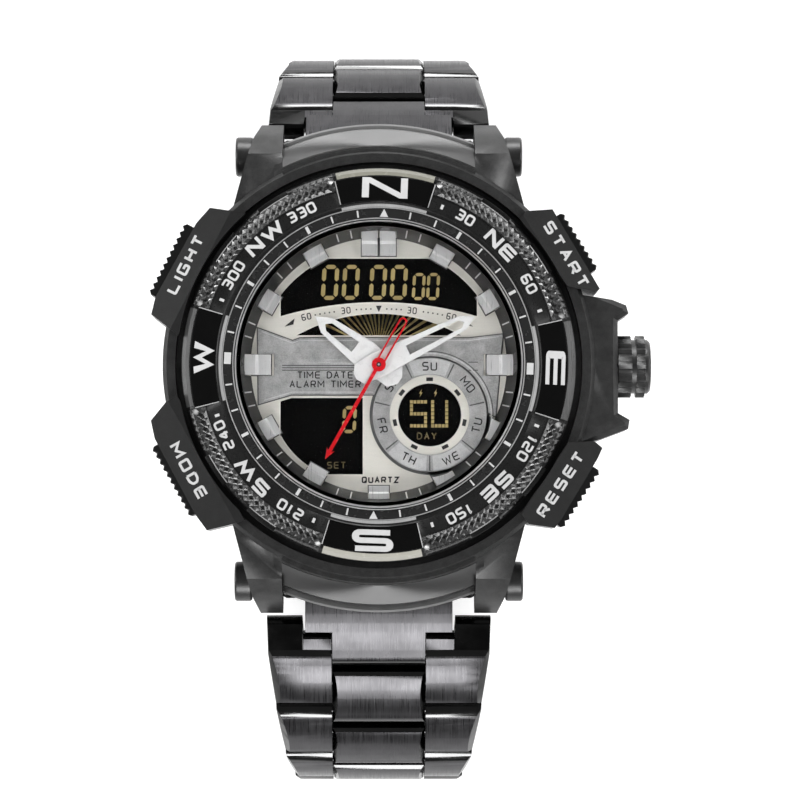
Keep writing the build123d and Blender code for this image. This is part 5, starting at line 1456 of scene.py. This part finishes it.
# Beside the end link's shoulders the first tails run on and slope down
SHOULDER_CUTS = (9.55, 9.7)
SHOULDER_TAIL = 1.7
SHOULDER_DROPS = {"12": 0.1, "6": 0.9}
# How far from a first link's end the painted shade beside the shoulders reaches
SHOULDER_RUN = FIRST_TAIL + SHOULDER_TAIL


def link_node(side, row):
    return f"link_{side}_{row}" if row else f"end_link_{side}"


def link_headings(side):
    """Angles of a side's links below the dial's plane in degrees, from each hinge to the next."""
    hinges = {joint["child"]: joint for joint in frame["joints"]}
    places = [hinges[link_node(side, row)]["pos_m"] for row in range(LINK_ROWS + 1)]
    headings = []
    for (_, y, z), (_, next_y, next_z) in zip(places, places[1:]):
        heading = degrees(atan2(z - next_z, SIDES[side] * (next_y - y)))
        headings.append(round(heading, HEADING_DIGITS))
    return headings + [LAST_HEADING]


def slice_shape(shape, point, normal):
    """New edges where a plane crosses the shape."""
    whole = [*shape.verts, *shape.edges, *shape.faces]
    bmesh.ops.bisect_plane(shape, geom=whole, dist=WELD * MM, plane_co=point, plane_no=normal)


def raise_crown(shape, along, upwards, low, high):
    """Lift the middle of a link's outer side."""
    middle, half = (low + high) / 2, (high - low) / 2
    floor = min(vertex.co.dot(upwards) for vertex in shape.verts)
    for vertex in shape.verts:
        share = (vertex.co.dot(upwards) - floor) / (LINK_HALF_THICKNESS * MM) - 1
        bow = 1 - ((vertex.co.dot(along) - middle) / half) ** 2
        vertex.co += upwards * (LINK_BULGE * MM * bow * min(1, max(0, share)))


def lengthen_tails(shape, along, upwards, low, high, far_tail, drop):
    """Draw out the ends of the outer pieces, further beside the end link's shoulders."""
    for vertex in shape.verts:
        if abs(vertex.co.x) <= TAIL_INNER * MM:
            continue
        if vertex.co.dot(along) > high - TAIL_ZONE * MM:
            vertex.co += along * far_tail * MM
        elif vertex.co.dot(along) < low + TAIL_ZONE * MM:
            vertex.co -= along * FIRST_TAIL * MM
            if abs(vertex.co.x) > (SHOULDER_CUTS[1] - WELD) * MM:
                vertex.co -= (along * SHOULDER_TAIL + upwards * drop) * MM


def shape_link(along, upwards, tails):
    """A function that gives a link its crown and, where it has them, its tails."""
    def reshape(shape):
        runs = [vertex.co.dot(along) for vertex in shape.verts]
        low, high = min(runs), max(runs)
        for cut in range(1, LINK_CUTS):
            slice_shape(shape, along * (low + cut * (high - low) / LINK_CUTS), along)
        if tails:
            for cut in SHOULDER_CUTS:
                for side in (-1, 1):
                    slice_shape(shape, (side * cut * MM, 0, 0), (side, 0, 0))
        raise_crown(shape, along, upwards, low, high)
        if tails:
            lengthen_tails(shape, along, upwards, low, high, *tails)
    return reshape


def finish_link(piece, upwards):
    """Faces that turn away from the outer side, and the link's sides, get finishes of their own."""
    for material in ("link_polish", "link_side"):
        piece.data.materials.append(PAINTS[material])
    for face in piece.data.polygons:
        if abs(face.normal.x) > sin(radians(FACE_ANGLE)):
            face.material_index = SIDE_FINISH
        elif face.normal.dot(upwards) < cos(radians(FACE_ANGLE)):
            face.material_index = EDGE_FINISH


def paint_shoulder_shade(piece, along):
    """Painted shade: the tails' run beside the end link's shoulders gets the dark finish of the sides, for
    the shade in the gap by the lugs.
    """
    end = min(vertex.co.dot(along) for vertex in piece.data.vertices)
    for face in piece.data.polygons:
        if abs(face.center.x) > SHOULDER_CUTS[0] * MM and face.center.dot(along) < end + SHOULDER_RUN * MM:
            face.material_index = SIDE_FINISH


def make_link(side, row, heading):
    """One link in steel brushed along it."""
    sign, node = SIDES[side], link_node(side, row)
    turn = radians(sign * heading)
    along, upwards = sign * Vector((0, cos(turn), -sin(turn))), Vector((0, sin(turn), cos(turn)))
    steel = brushed(LINK_STEEL, LINK_ROUGHNESS, turn=turn, spread=LINK_SPREAD)
    steel.name = f"steel_{node}"
    tails = (FAR_TAILS[side], SHOULDER_DROPS[side]) if row == 1 else ()
    piece = refine(node, steel, "steel", LINK_ROUNDING, shape_link(along, upwards, tails))
    finish_link(piece, upwards)
    # The first outer links get painted shade beside the end link's shoulders
    if tails:
        paint_shoulder_shade(piece, along)


def make_bracelet():
    for side in SIDES:
        for row, heading in enumerate(link_headings(side)):
            make_link(side, row, heading)


# CAD nodes that get rounded edges: node, material, slot and rounding in millimetres
FINE_NODES = [
    ("case_body", "body_grey", "steel", 0.18), ("pusher_guards", "guard_black", "dark_steel", 0.25),
    ("bezel_ring", "bezel_black", "dark_steel", 0.06), ("bezel_tiles", "tile_black", "black_enamel", 0.04),
    ("bezel_tick_ring", "tick_grey", "black_enamel", 0.03), ("lug_bars", "body_grey", "pin_steel", 0.3),
    ("lug_spacers", "guard_black", "steel", 0.1), ("crown", "body_grey", "steel", 0.05),
    ("case_back", "case_back_steel", "steel", 0.08), ("case_back_screws", "bright_steel", "pin_steel", 0.05),
    ("crystal", "crystal", "crystal_glass", 0.05), ("dial_plate", "dial_cream", "dial_cream", 0.03),
    ("inner_flange", "flange_grey", "dial_grey", 0.0),
    ("bridge_plate", "dial_grey", "dial_grey", 0.08), ("weekday_ring", "dial_grey", "dial_grey", 0.05),
    ("hour_hand", "hand_white", "hand_white", 0.06), ("minute_hand", "hand_white", "hand_white", 0.06),
    ("second_hand", "hand_red", "hand_red", 0.05), ("clasp_cover", "clasp_steel", "steel", 0.1),
    ("clasp_long_blade", "clasp_steel", "steel", 0.1), ("clasp_short_blade", "clasp_steel", "steel", 0.1),
    ("clasp_button_left", "link_polish", "steel", 0.1), ("clasp_button_right", "link_polish", "steel", 0.1),
]
# CAD nodes that keep their shape: node and material
PLAIN_NODES = [
    ("lcd_panels", "lcd_black"), ("battery", "battery_steel"), ("battery_clip", "brass"),
    ("bezel_click_ring", "pin_steel"), ("button_springs", "pin_steel"), ("cannon_pipe", "brass"),
    ("case_gaskets", "rubber"), ("circuit_board", "board_green"), ("crown_seal", "rubber"),
    ("crown_stem", "pin_steel"), ("crown_tube", "brass"), ("crystal_gasket", "nylon"),
    ("hour_pipe", "brass"), ("movement_holder", "movement"), ("movement_module", "movement"),
    ("clasp_pins", "pin_steel"),
]

for node, material, slot, rounding in FINE_NODES:
    refine(node, material, slot, rounding)
refine("hour_markers", "marker_grey", "marker_grey", MARKER_ROUNDING, trim_markers)
make_buttons()
for node, material in PLAIN_NODES:
    repaint(node, material)
make_bracelet()
make_barrel_bands()
make_spacer_knurls()
make_knurl()
make_bezel_trim()
print_tiles()
print_band()
print_ticks()
make_flange_ticks()
make_window_borders()
make_bridge_relief()
make_week_relief()
make_displays()
make_rays()
make_dial_print()
make_marker_shadows()
make_hub()
make_legends()

[[list(corner) for corner in box] for box in (CAD_BOX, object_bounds())]
